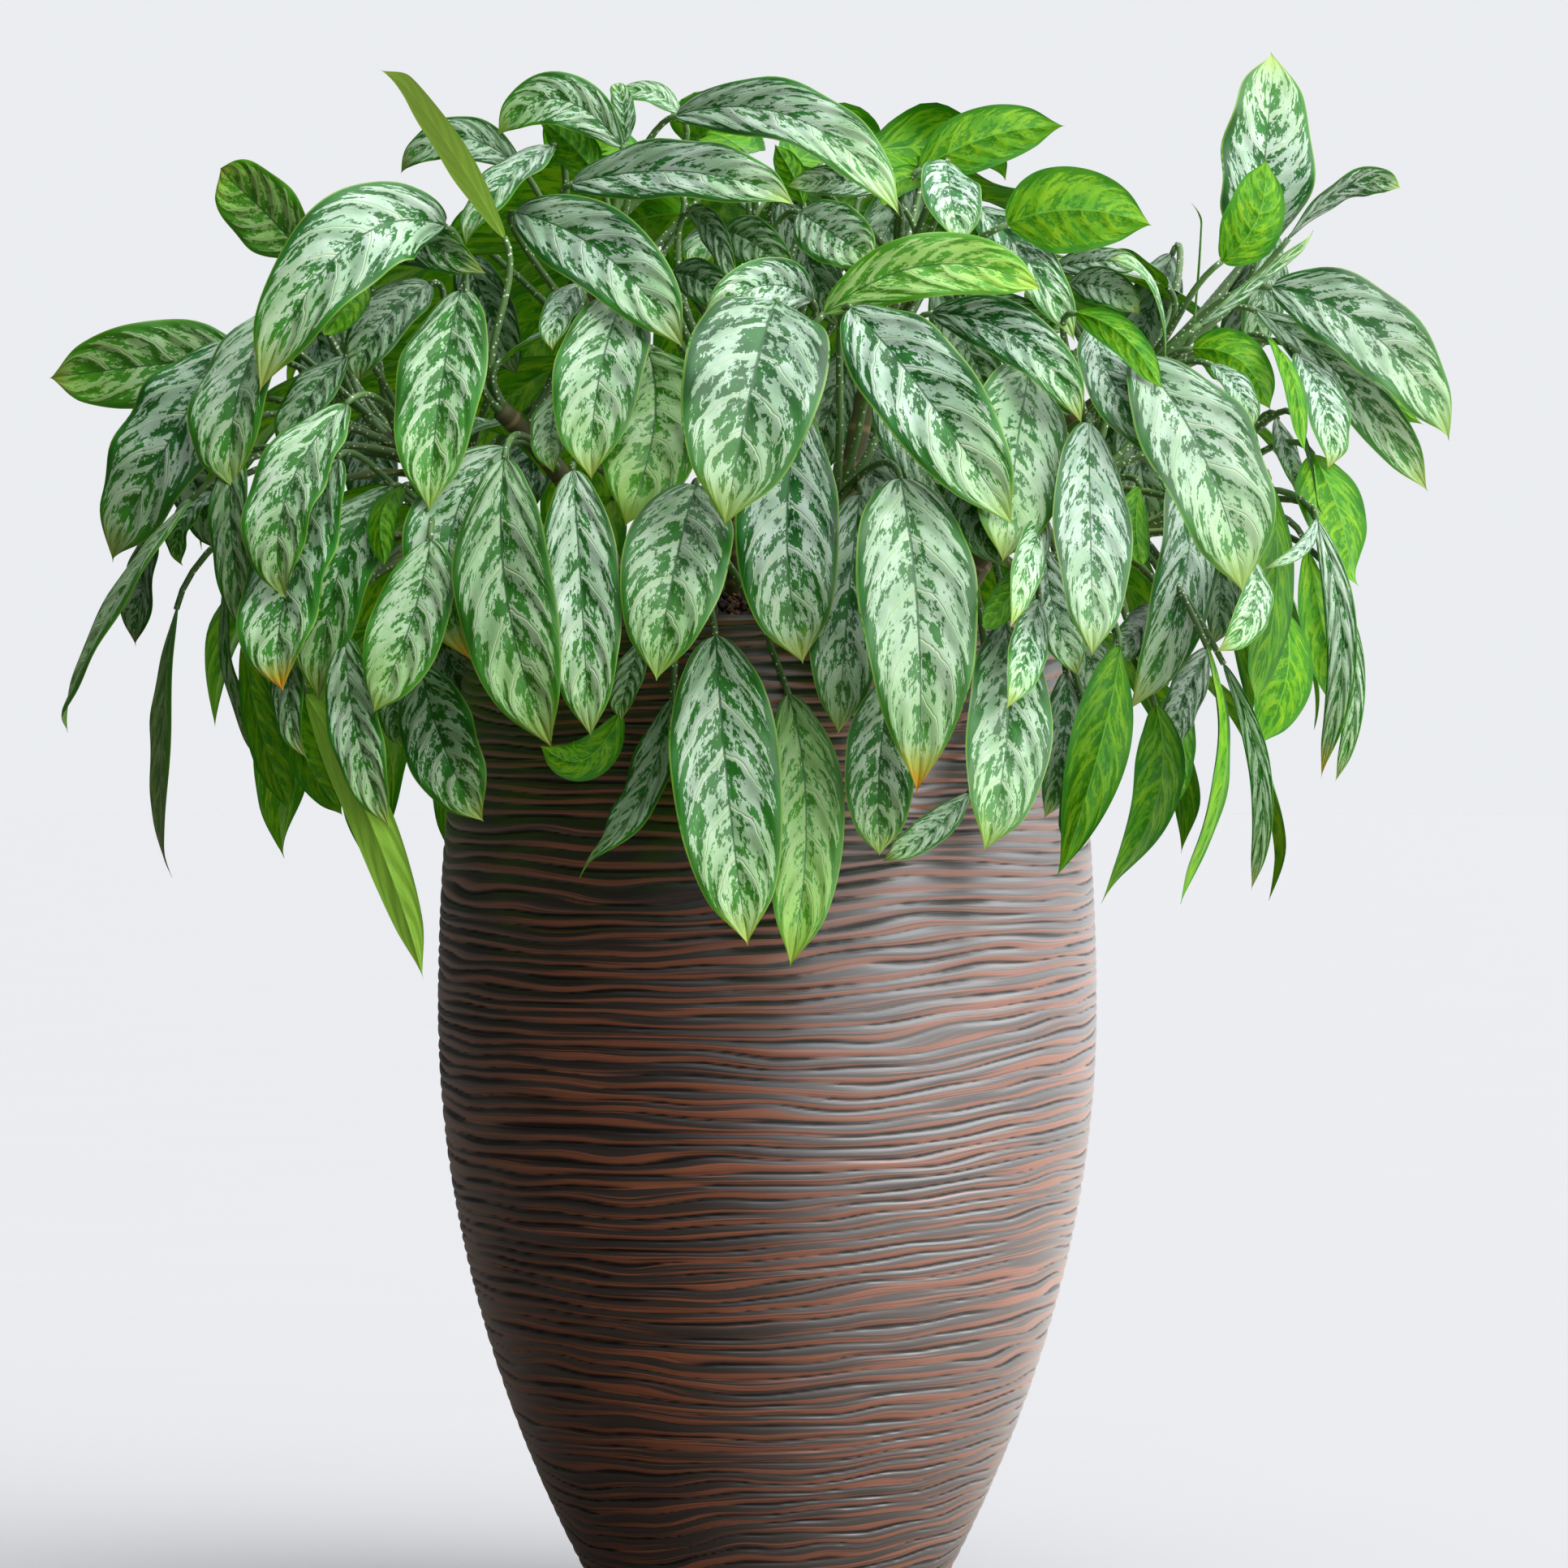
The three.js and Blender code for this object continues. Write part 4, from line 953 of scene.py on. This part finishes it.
def make_blades(number):
    own = [form for form in forms if form["cane"] == number]
    points, faces, sides, places, looks = [], [], [], [], []
    for form in own:
        draw = random.Random(form["midrib"][2].x * 31 + form["midrib"][2].z)
        start = len(points)
        skins = blade_skins(form, draw)
        points.extend(point * MM for point in skins)
        for quads, side in ((UPPER_FACES, 0), (LOWER_FACES, 1)):
            faces.extend(tuple(start + i for i in quad) for quad in quads)
            sides.extend([side] * len(quads))
        places.extend([((s + 1) / 2, t) for t in STEPS for s in ACROSS] * 2)
        looks.extend([leaf_look(form, draw)] * len(skins))
    name = f"leafy_cane_{number + 1:02d}"
    blades = make_piece(name + "_blades", points, faces, [leaf_upper, leaf_under], name, sides)
    spread = blades.data.uv_layers.new(name="blade")
    corners = [0] * len(blades.data.loops)
    blades.data.loops.foreach_get("vertex_index", corners)
    spread.data.foreach_set("uv", [value for corner in corners for value in places[corner]])
    for i, label in enumerate(LEAF_NUMBERS):
        keep_numbers(blades, label, [look[i] for look in looks])
    return blades


# %% [markdown]
# ## Looks of single leaves
#
# No two leaves match. Each keeps a few numbers for the finish to read: a seed for its figure, how silver it
# is, how far it goes to plain yellow-green, as young leaves do, how much painted shade darkens its colour,
# and how yellow its tip has become with age. Leaves that stand out are named by their row in FRONT_LEAVES,
# and the others are left to chance.

# %% Leaf looks
LEAF_NUMBERS = ("leaf_seed", "leaf_silver", "leaf_warmth", "leaf_painted_shade", "leaf_age")
YELLOW_GREEN = {0: 0.5, 3: 0.7, 5: 0.4, 7: 0.8, 11: 1.0, 28: 0.6, 34: 0.75, 96: 0.5, 106: 0.6, 115: 0.93}
WARMER_ROWS = range(95, 122)  # the leaves at the lower left
WARMER_BY = 0.15
VERY_SILVER, VERY_SILVER_ROWS = 0.75, {5, 20, 21, 36, 37, 54, 59, 68, 83}
# The shade numbers are painted shade: they darken a leaf's colour where it hangs in shadow inside the plant, or
# where it would look too bright in the window light.
DEEP_SHADE, DEEP_SHADE_ROWS = 0.65, {4, 14, 15, 17, 24, 29, 63, 65, 72, 80, 84, 103, 111, 113, 114, 120}
HALF_SHADE, HALF_SHADE_ROWS = 0.42, {47, 54, 69, 75, 77, 78, 83, 89, 92, 95, 100, 106, 107, 115}
LAYER_SHADE = 0.15  # on the leaves of REAR_LAYER, and less on each layer up to LIT_LAYER
REAR_LAYER, LIT_LAYER = 2, 7
BACK_LAYER = 4  # the layer that leaves without a row count as
AGED_TIPS = {83: 1.0, 59: 0.8, 69: 1.0, 99: 0.9, 109: 1.0}


def leaf_look(form, draw):
    row = form.get("row")
    layer = BACK_LAYER if row is None else FRONT_LEAVES[row][0]
    warmth = YELLOW_GREEN.get(row, draw.uniform(0.0, 0.2) + (WARMER_BY if row in WARMER_ROWS else 0))
    silver = VERY_SILVER if row in VERY_SILVER_ROWS else draw.uniform(0.25, 0.7)
    # Painted shade: named rows, young leaves and the rear layers are darkened as if they lay in shadow.
    if row in HALF_SHADE_ROWS:
        shade = HALF_SHADE
    elif row in DEEP_SHADE_ROWS or "young" in form:
        shade = DEEP_SHADE
    else:
        shade = LAYER_SHADE * max(0, (LIT_LAYER - layer) / (LIT_LAYER - REAR_LAYER))
    age = AGED_TIPS.get(row, draw.uniform(0.0, 0.15))
    return draw.uniform(0, 60), silver, warmth, shade, age


# %% [markdown]
# ## The leaf's figure
#
# Silver-green is the ground. Dark green lies over it in torn patches between the lateral veins, which leave
# the midrib at a slant and bend towards the tip, and again along the margin. The upper side and the underside
# share this figure, so it is a node group. A noise is read in a stretched space: along the blade it is
# measured from the vein that passes through, which bends the patches with the veins, and across it is drawn
# out, which makes them long.

# %% Figure group: the torn patches
figure, given, made = new_group(
    "leaf_figure",
    {"Across": 0.5, "Along": 0.5, "Seed": 0.0, "Silver": 0.5},
    ["Level", "Vein", "Midrib", "Cloud", "Rim", "Relief"],
)
signed = calc(figure, "MULTIPLY_ADD", given["Across"], 2.0, -1.0)
side = calc(figure, "ABSOLUTE", signed)
half_seed = calc(figure, "MULTIPLY_ADD", calc(figure, "GREATER_THAN", signed, 0.0), 17.0, given["Seed"])


def noise_over_blade(x, x_scale, y, y_scale, detail, rough=0.5):
    place = {0: calc(figure, "MULTIPLY", x, x_scale), 1: calc(figure, "MULTIPLY", y, y_scale), 2: half_seed}
    spot = put(figure, "CombineXYZ", place).outputs[0]
    inputs = {"Vector": spot, "Scale": 1.0, "Detail": detail, "Roughness": rough}
    return put(figure, "TexNoise", inputs).outputs[0]


cloud = noise_over_blade(given["Along"], 7.0, signed, 1.6, 3.0)
slant = calc(figure, "MULTIPLY", side, 0.17)
reach = calc(figure, "MULTIPLY_ADD", calc(figure, "POWER", side, 3.0), 0.16, slant)
bent = calc(figure, "SUBTRACT", given["Along"], reach)
torn = noise_over_blade(bent, 22.0, side, 4.3, 5.0, 0.73)
flecks = noise_over_blade(given["Along"], 30.0, side, 20.0, 2.0)

# %% [markdown]
# The level says how much of the dark green lies at a spot, and the edge of a patch is where it passes zero.
# It is raised between the veins and along the margin, and lowered in a pale band on each half, in flecks, and
# towards the tip.

# %% Figure group: veins, margin and level
wobble = calc(figure, "MULTIPLY_ADD", cloud, 0.5, calc(figure, "MULTIPLY", bent, 6.0))
to_vein = calc(figure, "ABSOLUTE", calc(figure, "SUBTRACT", calc(figure, "FRACT", wobble), 0.5))
between = ramp(figure, to_vein, 0.02, 0.16, -0.12, 0.02)
ragged = calc(figure, "MULTIPLY_ADD", torn, 0.3, calc(figure, "ADD", side, -0.15))
margin = ramp(figure, ragged, 0.8, 0.93, 0.0, 0.4)
pale_band = calc(figure, "MULTIPLY", ramp(figure, side, 0.2, 0.42), ramp(figure, side, 0.74, 0.52))
level = calc(figure, "ADD", calc(figure, "ADD", torn, between), margin)
level = calc(figure, "MULTIPLY_ADD", pale_band, -0.07, level)
level = calc(figure, "MULTIPLY_ADD", ramp(figure, flecks, 0.56, 0.7), -0.12, level)
level = calc(figure, "MULTIPLY_ADD", given["Silver"], -0.12, level)
level = calc(figure, "MULTIPLY_ADD", cloud, 0.2, level)
level = calc(figure, "ADD", level, ramp(figure, given["Along"], 0.86, 1.0, 0.0, -0.14))
figure.links.new(calc(figure, "SUBTRACT", level, 0.518), made["Level"])
line = calc(figure, "MULTIPLY", ramp(figure, to_vein, 0.035, 0.0), ramp(figure, side, 1.0, 0.75))
figure.links.new(line, made["Vein"])
rib_width = calc(figure, "MULTIPLY_ADD", given["Along"], -0.018, 0.03)
figure.links.new(calc(figure, "LESS_THAN", side, rib_width), made["Midrib"])
figure.links.new(cloud, made["Cloud"])
figure.links.new(ramp(figure, side, 0.955, 0.98), made["Rim"])
swollen = calc(figure, "MULTIPLY", ramp(figure, to_vein, 0.0, 0.5), ramp(figure, side, 1.0, 0.6))
swollen = calc(figure, "MULTIPLY_ADD", line, 0.35, swollen)
swollen = calc(figure, "MULTIPLY_ADD", torn, 0.2, swollen)
fading = ramp(figure, given["Along"], 1.0, 0.8)
figure.links.new(calc(figure, "MULTIPLY", swollen, fading), made["Relief"])
print("figure nodes:", len(figure.nodes))


# %% [markdown]
# ## Upper side and underside
#
# The upper side has the silver ground and a satin shine, with the veins a shade paler and pressed in a
# little. The underside has no silver skin. Its bright yellow-green is its own colour, partly brightened as
# painted light for the light coming through it, and the patches show as deeper green with soft edges. A faint
# glow in its own colour is painted light for that same light. Both read the leaf's own numbers from the mesh.

# %% Leaf trees
def leaf_tree(name, **settings):
    material, tree, shader = new_material(name, **settings)
    place = put(tree, "SeparateXYZ", {0: put(tree, "UVMap", uv_map="blade").outputs[0]}).outputs
    group = tree.nodes.new("ShaderNodeGroup")
    group.node_tree = figure
    tree.links.new(place[0], group.inputs["Across"])
    tree.links.new(place[1], group.inputs["Along"])
    tree.links.new(number_of(tree, "leaf_seed"), group.inputs["Seed"])
    tree.links.new(number_of(tree, "leaf_silver"), group.inputs["Silver"])
    return material, tree, shader, place[1], group.outputs


# Painted shade: the shade number multiplies a leaf's colour towards this dark green.
PAINTED_SHADE_COLOUR = (0.34, 0.42, 0.30, 1)


def finish_leaf(tree, shader, colour, relief, strength):
    """Darken the colour by the leaf's painted shade, give it to the shader, and add the relief."""
    inputs = {0: number_of(tree, "leaf_painted_shade"), 6: colour, 7: PAINTED_SHADE_COLOUR}
    colour = put(tree, "Mix", inputs, data_type="RGBA", blend_type="MULTIPLY").outputs[2]
    tree.links.new(colour, shader.inputs["Base Color"])
    bump = put(tree, "Bump", {"Strength": strength, "Distance": 0.003, "Height": relief}).outputs[0]
    tree.links.new(bump, shader.inputs["Normal"])
    return colour


# %% Upper side
leaf_upper, tree, shader, height, marks = leaf_tree(
    "leaf_upper", Specular_IOR_Level=0.32, Coat_Weight=0.14, Coat_Roughness=0.26,
)
warmth = number_of(tree, "leaf_warmth")
light = ramp(tree, marks["Cloud"], 0.3, 0.7)
greener = calc(tree, "MULTIPLY_ADD", ramp(tree, height, 0.45, 1.0), 0.35, warmth)
ground = blend(tree, light, tint(144, 178, 152), tint(192, 210, 200))
ground = blend(tree, greener, ground, tint(150, 204, 70))
ground = blend(tree, calc(tree, "MULTIPLY", marks["Vein"], 0.6), ground, tint(206, 226, 164))
deep = blend(tree, light, tint(10, 70, 26), tint(26, 108, 36))
deep = blend(tree, greener, deep, tint(80, 158, 18))
colour = blend(tree, ramp(tree, marks["Level"], -0.006, 0.018), ground, deep)
colour = blend(tree, calc(tree, "MULTIPLY", marks["Rim"], 0.7), colour, tint(126, 168, 56))
colour = blend(tree, calc(tree, "MULTIPLY", marks["Midrib"], 0.85), colour, tint(44, 96, 46))
colour = blend(tree, calc(tree, "MULTIPLY", ramp(tree, warmth, 0.85, 1.0), 0.6), colour, tint(138, 182, 62))
tip = ramp(tree, calc(tree, "MULTIPLY_ADD", light, 0.05, height), 0.88, 1.02, 0.0, 0.75)
colour = blend(tree, tip, colour, tint(136, 178, 40))
old = calc(tree, "MULTIPLY", ramp(tree, height, 0.84, 0.98), number_of(tree, "leaf_age"))
aged = blend(tree, ramp(tree, height, 0.9, 1.0), tint(206, 196, 40), tint(226, 150, 30))
colour = blend(tree, old, colour, aged)
finish_leaf(tree, shader, colour, marks["Relief"], 0.5)
tree.links.new(ramp(tree, marks["Cloud"], 0.3, 0.7, 0.34, 0.46), shader.inputs["Roughness"])

# %% Underside
leaf_under, tree, shader, _, marks = leaf_tree(
    "leaf_under", Roughness=0.55, Specular_IOR_Level=0.18, Emission_Strength=0.22,
)
# Partly painted light: the underside's bright yellow-green stands in part for light coming through the blade.
light = ramp(tree, marks["Cloud"], 0.3, 0.7)
ground = blend(tree, light, tint(64, 130, 2), tint(108, 156, 10))
deep = blend(tree, light, tint(22, 96, 2), tint(42, 114, 4))
colour = blend(tree, calc(tree, "MULTIPLY", ramp(tree, marks["Level"], -0.045, 0.06), 0.85), ground, deep)
colour = blend(tree, calc(tree, "MULTIPLY", marks["Vein"], 0.25), colour, tint(140, 184, 40))
colour = blend(tree, marks["Midrib"], colour, tint(92, 146, 40))
colour = blend(tree, ramp(tree, number_of(tree, "leaf_warmth"), 0.85, 1.0), colour, tint(170, 214, 84))
colour = finish_leaf(tree, shader, colour, marks["Relief"], 0.25)
# Painted light: the emission glows in the leaf's own shaded colour, for light coming through the blade.
tree.links.new(colour, shader.inputs["Emission Color"])
print("leaf finishes:", leaf_upper.name, leaf_under.name)

# %% Make the blades
blades = [make_blades(number) for number in range(len(canes))]
print("blade points:", sum(len(piece.data.vertices) for piece in blades))

# %% [markdown]
# ## Stalks and canes
#
# A stalk clasps the cane with a pale sheath, narrows above it, and runs into the midrib. The cane shows a
# ring where each old leaf has dropped. Both are tubes on the curves that were laid out above.

# %% Tubes
STALK_RADIUS = 1.9
STALK_SIDES = 10
CANE_SIDES = 16
CANE_FOOT_RADIUS = 7.5
CANE_TOP_RADIUS = 6
STALK_STEPS, CANE_STEPS = 14, 70
LEAF_SCARS = 14  # rings on a cane


def tube(points, faces, numbers, line, steps, radius_at, sides, number_at):
    """Add a closed tube along a curve, and a number for each of its points."""
    start = len(points)
    for step in range(steps + 1):
        t = step / steps
        centre, direction = point_on(line, t), along(line, t)
        first = (Vector((1, 0, 0)) - direction * direction.x).normalized()
        second = direction.cross(first)
        for side in range(sides):
            angle = 2 * math.pi * side / sides
            spoke = first * math.cos(angle) + second * math.sin(angle)
            points.append((centre + spoke * radius_at(t)) * MM)
            numbers.append(number_at(t, angle))
    faces.extend(faces_between_rings(start, steps + 1, sides))
    last = start + steps * sides
    faces.append(tuple(start + side for side in reversed(range(sides))))
    faces.append(tuple(last + side for side in range(sides)))


def stalk_radius(t):
    return STALK_RADIUS * (1.35 - 0.35 * t + 0.7 * max(0, 1 - t / 0.35) ** 1.5)


def sheath_at(t, angle):
    """How much of the pale sheath shows: a strip up one side of the stalk that ends above its middle."""
    return max(0.0, 1 - t / 0.55) * max(0.0, min(1.0, 0.45 + math.sin(angle)))


def cane_radius(t):
    ring = math.exp(-((t * LEAF_SCARS) % 1 - 0.5) ** 2 / 0.01)
    return CANE_FOOT_RADIUS + (CANE_TOP_RADIUS - CANE_FOOT_RADIUS) * t + 0.5 * ring


# %% Stalks of one cane
def make_stalks(number):
    points, faces, sheath = [], [], []
    for form in forms:
        if form["cane"] == number:
            tube(points, faces, sheath, stalk_line(form), STALK_STEPS, stalk_radius, STALK_SIDES, sheath_at)
    stalk_faces = len(faces)
    tube(points, faces, sheath, canes[number], CANE_STEPS, cane_radius, CANE_SIDES, lambda t, angle: t)
    name = f"leafy_cane_{number + 1:02d}"
    kinds = [0] * stalk_faces + [1] * (len(faces) - stalk_faces)
    stalks = make_piece(name + "_stalks", points, faces, [stalk_skin, cane_skin], name, kinds)
    keep_numbers(stalks, "sheath", sheath)
    return stalks


# %% [markdown]
# The stalk's skin is a fresh green with tiny white flecks and a pale edge to the sheath. The cane's is
# browner, with dry rings. On a cane, the number that tells a stalk how much of its sheath shows gives the
# height instead, and the rings are counted up it.

# %% Stalk and cane skins
stalk_skin, tree, shader = new_material("stalk_skin", Roughness=0.42)
spot = put(tree, "TexCoord").outputs["Object"]
flecks = put(tree, "TexVoronoi", {"Vector": spot, "Scale": 330.0}).outputs["Distance"]
cloud = put(tree, "TexNoise", {"Vector": spot, "Scale": 40.0, "Detail": 3.0}).outputs[0]
colour = blend(tree, cloud, tint(42, 80, 34), tint(104, 142, 74))
colour = blend(tree, ramp(tree, number_of(tree, "sheath"), 0.15, 0.6), colour, tint(176, 184, 116))
colour = blend(tree, ramp(tree, flecks, 0.26, 0.2), colour, tint(214, 224, 200))
tree.links.new(colour, shader.inputs["Base Color"])
tree.links.new(ramp(tree, cloud, 0.3, 0.7, 0.36, 0.5), shader.inputs["Roughness"])

cane_skin, tree, shader = new_material("cane_skin", Roughness=0.6)
spot = put(tree, "TexCoord").outputs["Object"]
cloud = put(tree, "TexNoise", {"Vector": spot, "Scale": 70.0, "Detail": 4.0}).outputs[0]
rings = calc(tree, "FRACT", calc(tree, "MULTIPLY", number_of(tree, "sheath"), LEAF_SCARS))
ring = ramp(tree, calc(tree, "ABSOLUTE", calc(tree, "SUBTRACT", rings, 0.5)), 0.14, 0.02)
colour = blend(tree, cloud, tint(60, 68, 38), tint(112, 104, 64))
colour = blend(tree, ring, colour, tint(146, 124, 86))
tree.links.new(colour, shader.inputs["Base Color"])
stalks = [make_stalks(number) for number in range(len(canes))]
print("stalk points:", sum(len(piece.data.vertices) for piece in stalks))

# %% [markdown]
# ## Floor and light
#
# The plant stands on a plain pale floor that runs far back and meets the pale backdrop. What the floor throws
# back on the plant is a darker colour, as of a wooden floor, with painted light on it: dark at the left and
# paler towards the window. Being dark, it keeps the shade under the leaves deep. The light is that of a tall
# window at the right: a sun lamp with a very wide angle, which throws shadows as soft as a window does. The
# rest of the room lights the shade from all round.

# %% Floor
FLOOR = 60  # metres from its middle to its sides
corners = [(-FLOOR, -FLOOR, 0), (FLOOR, -FLOOR, 0), (FLOOR, FLOOR, 0), (-FLOOR, FLOOR, 0)]
floor_mesh = bpy.data.meshes.new("floor")
floor_mesh.from_pydata(corners, [], [(0, 1, 2, 3)])
floor = bpy.data.objects.new("floor", floor_mesh)
floor.location.z = -0.0005  # half a millimetre under the planter's foot
bpy.context.scene.collection.objects.link(floor)
pale, tree, shader = new_material("pale_floor", Roughness=0.9)
spot = put(tree, "TexCoord").outputs["Object"]
specks = put(tree, "TexNoise", {"Vector": spot, "Scale": 3.0, "Detail": 2.0}).outputs[0]
lit = blend(tree, specks, tint(176, 176, 177), tint(178, 178, 179))
seen_straight = put(tree, "LightPath").outputs["Is Camera Ray"]
along_room = put(tree, "SeparateXYZ", {0: spot}).outputs[0]
# Painted light: what the plant sees of the floor is a dark wood colour that grows paler towards the window.
wood_with_painted_light = blend(tree, ramp(tree, along_room, -0.2, 0.6), tint(64, 54, 44), tint(216, 208, 200))
tree.links.new(blend(tree, seen_straight, wood_with_painted_light, lit), shader.inputs["Base Color"])
floor_mesh.materials.append(pale)

# %% Window light
WINDOW_ROUND = 68  # degrees to the right of the camera, as seen from the plant
WINDOW_UP = 44
WINDOW_WIDE = 76
WINDOW_STRENGTH = 3.3
window = bpy.data.lights.new("window", "SUN")
window.energy = WINDOW_STRENGTH
window.angle = math.radians(WINDOW_WIDE)
window_holder = bpy.data.objects.new("window", window)
round_way, up_way = math.radians(WINDOW_ROUND), math.radians(WINDOW_UP)
level_part = math.cos(up_way)
towards = Vector((math.sin(round_way) * level_part, -math.cos(round_way) * level_part, math.sin(up_way)))
window_holder.rotation_euler = towards.to_track_quat("Z", "Y").to_euler()
bpy.context.scene.collection.objects.link(window_holder)
print("window lamp from:", [round(value, 2) for value in towards])

# %% [markdown]
# The rest of the room is lighter towards the window and overhead, so the left of the planter stays dark.
# Where the camera looks straight at the room, it sees a backdrop as pale as a lit wall.

# %% Room light and backdrop
ROOM_LEFT, ROOM_RIGHT = 0.03, 1.8  # how strong its light is, from the dark side to the side of the window
ROOM_COLOUR = (0.94, 0.96, 1.0, 1)
world = bpy.data.worlds.new("room_light")
world.use_nodes = True
tree = world.node_tree
room = tree.nodes["Background"]
room.inputs["Color"].default_value = ROOM_COLOUR
way = put(tree, "SeparateXYZ", {0: put(tree, "TexCoord").outputs["Generated"]}).outputs
lighter = calc(tree, "MULTIPLY_ADD", way[2], 0.7, way[0])
tree.links.new(ramp(tree, lighter, -0.4, 0.95, ROOM_LEFT, ROOM_RIGHT), room.inputs["Strength"])
wall = put(tree, "Background", {"Color": tint(235, 237, 240), "Strength": 1.0})
straight = put(tree, "LightPath").outputs["Is Camera Ray"]
both = put(tree, "MixShader", {0: straight, 1: room.outputs[0], 2: wall.outputs[0]})
tree.links.new(both.outputs[0], tree.nodes["World Output"].inputs["Surface"])
bpy.context.scene.world = world
bpy.context.scene.view_settings.view_transform = "Standard"
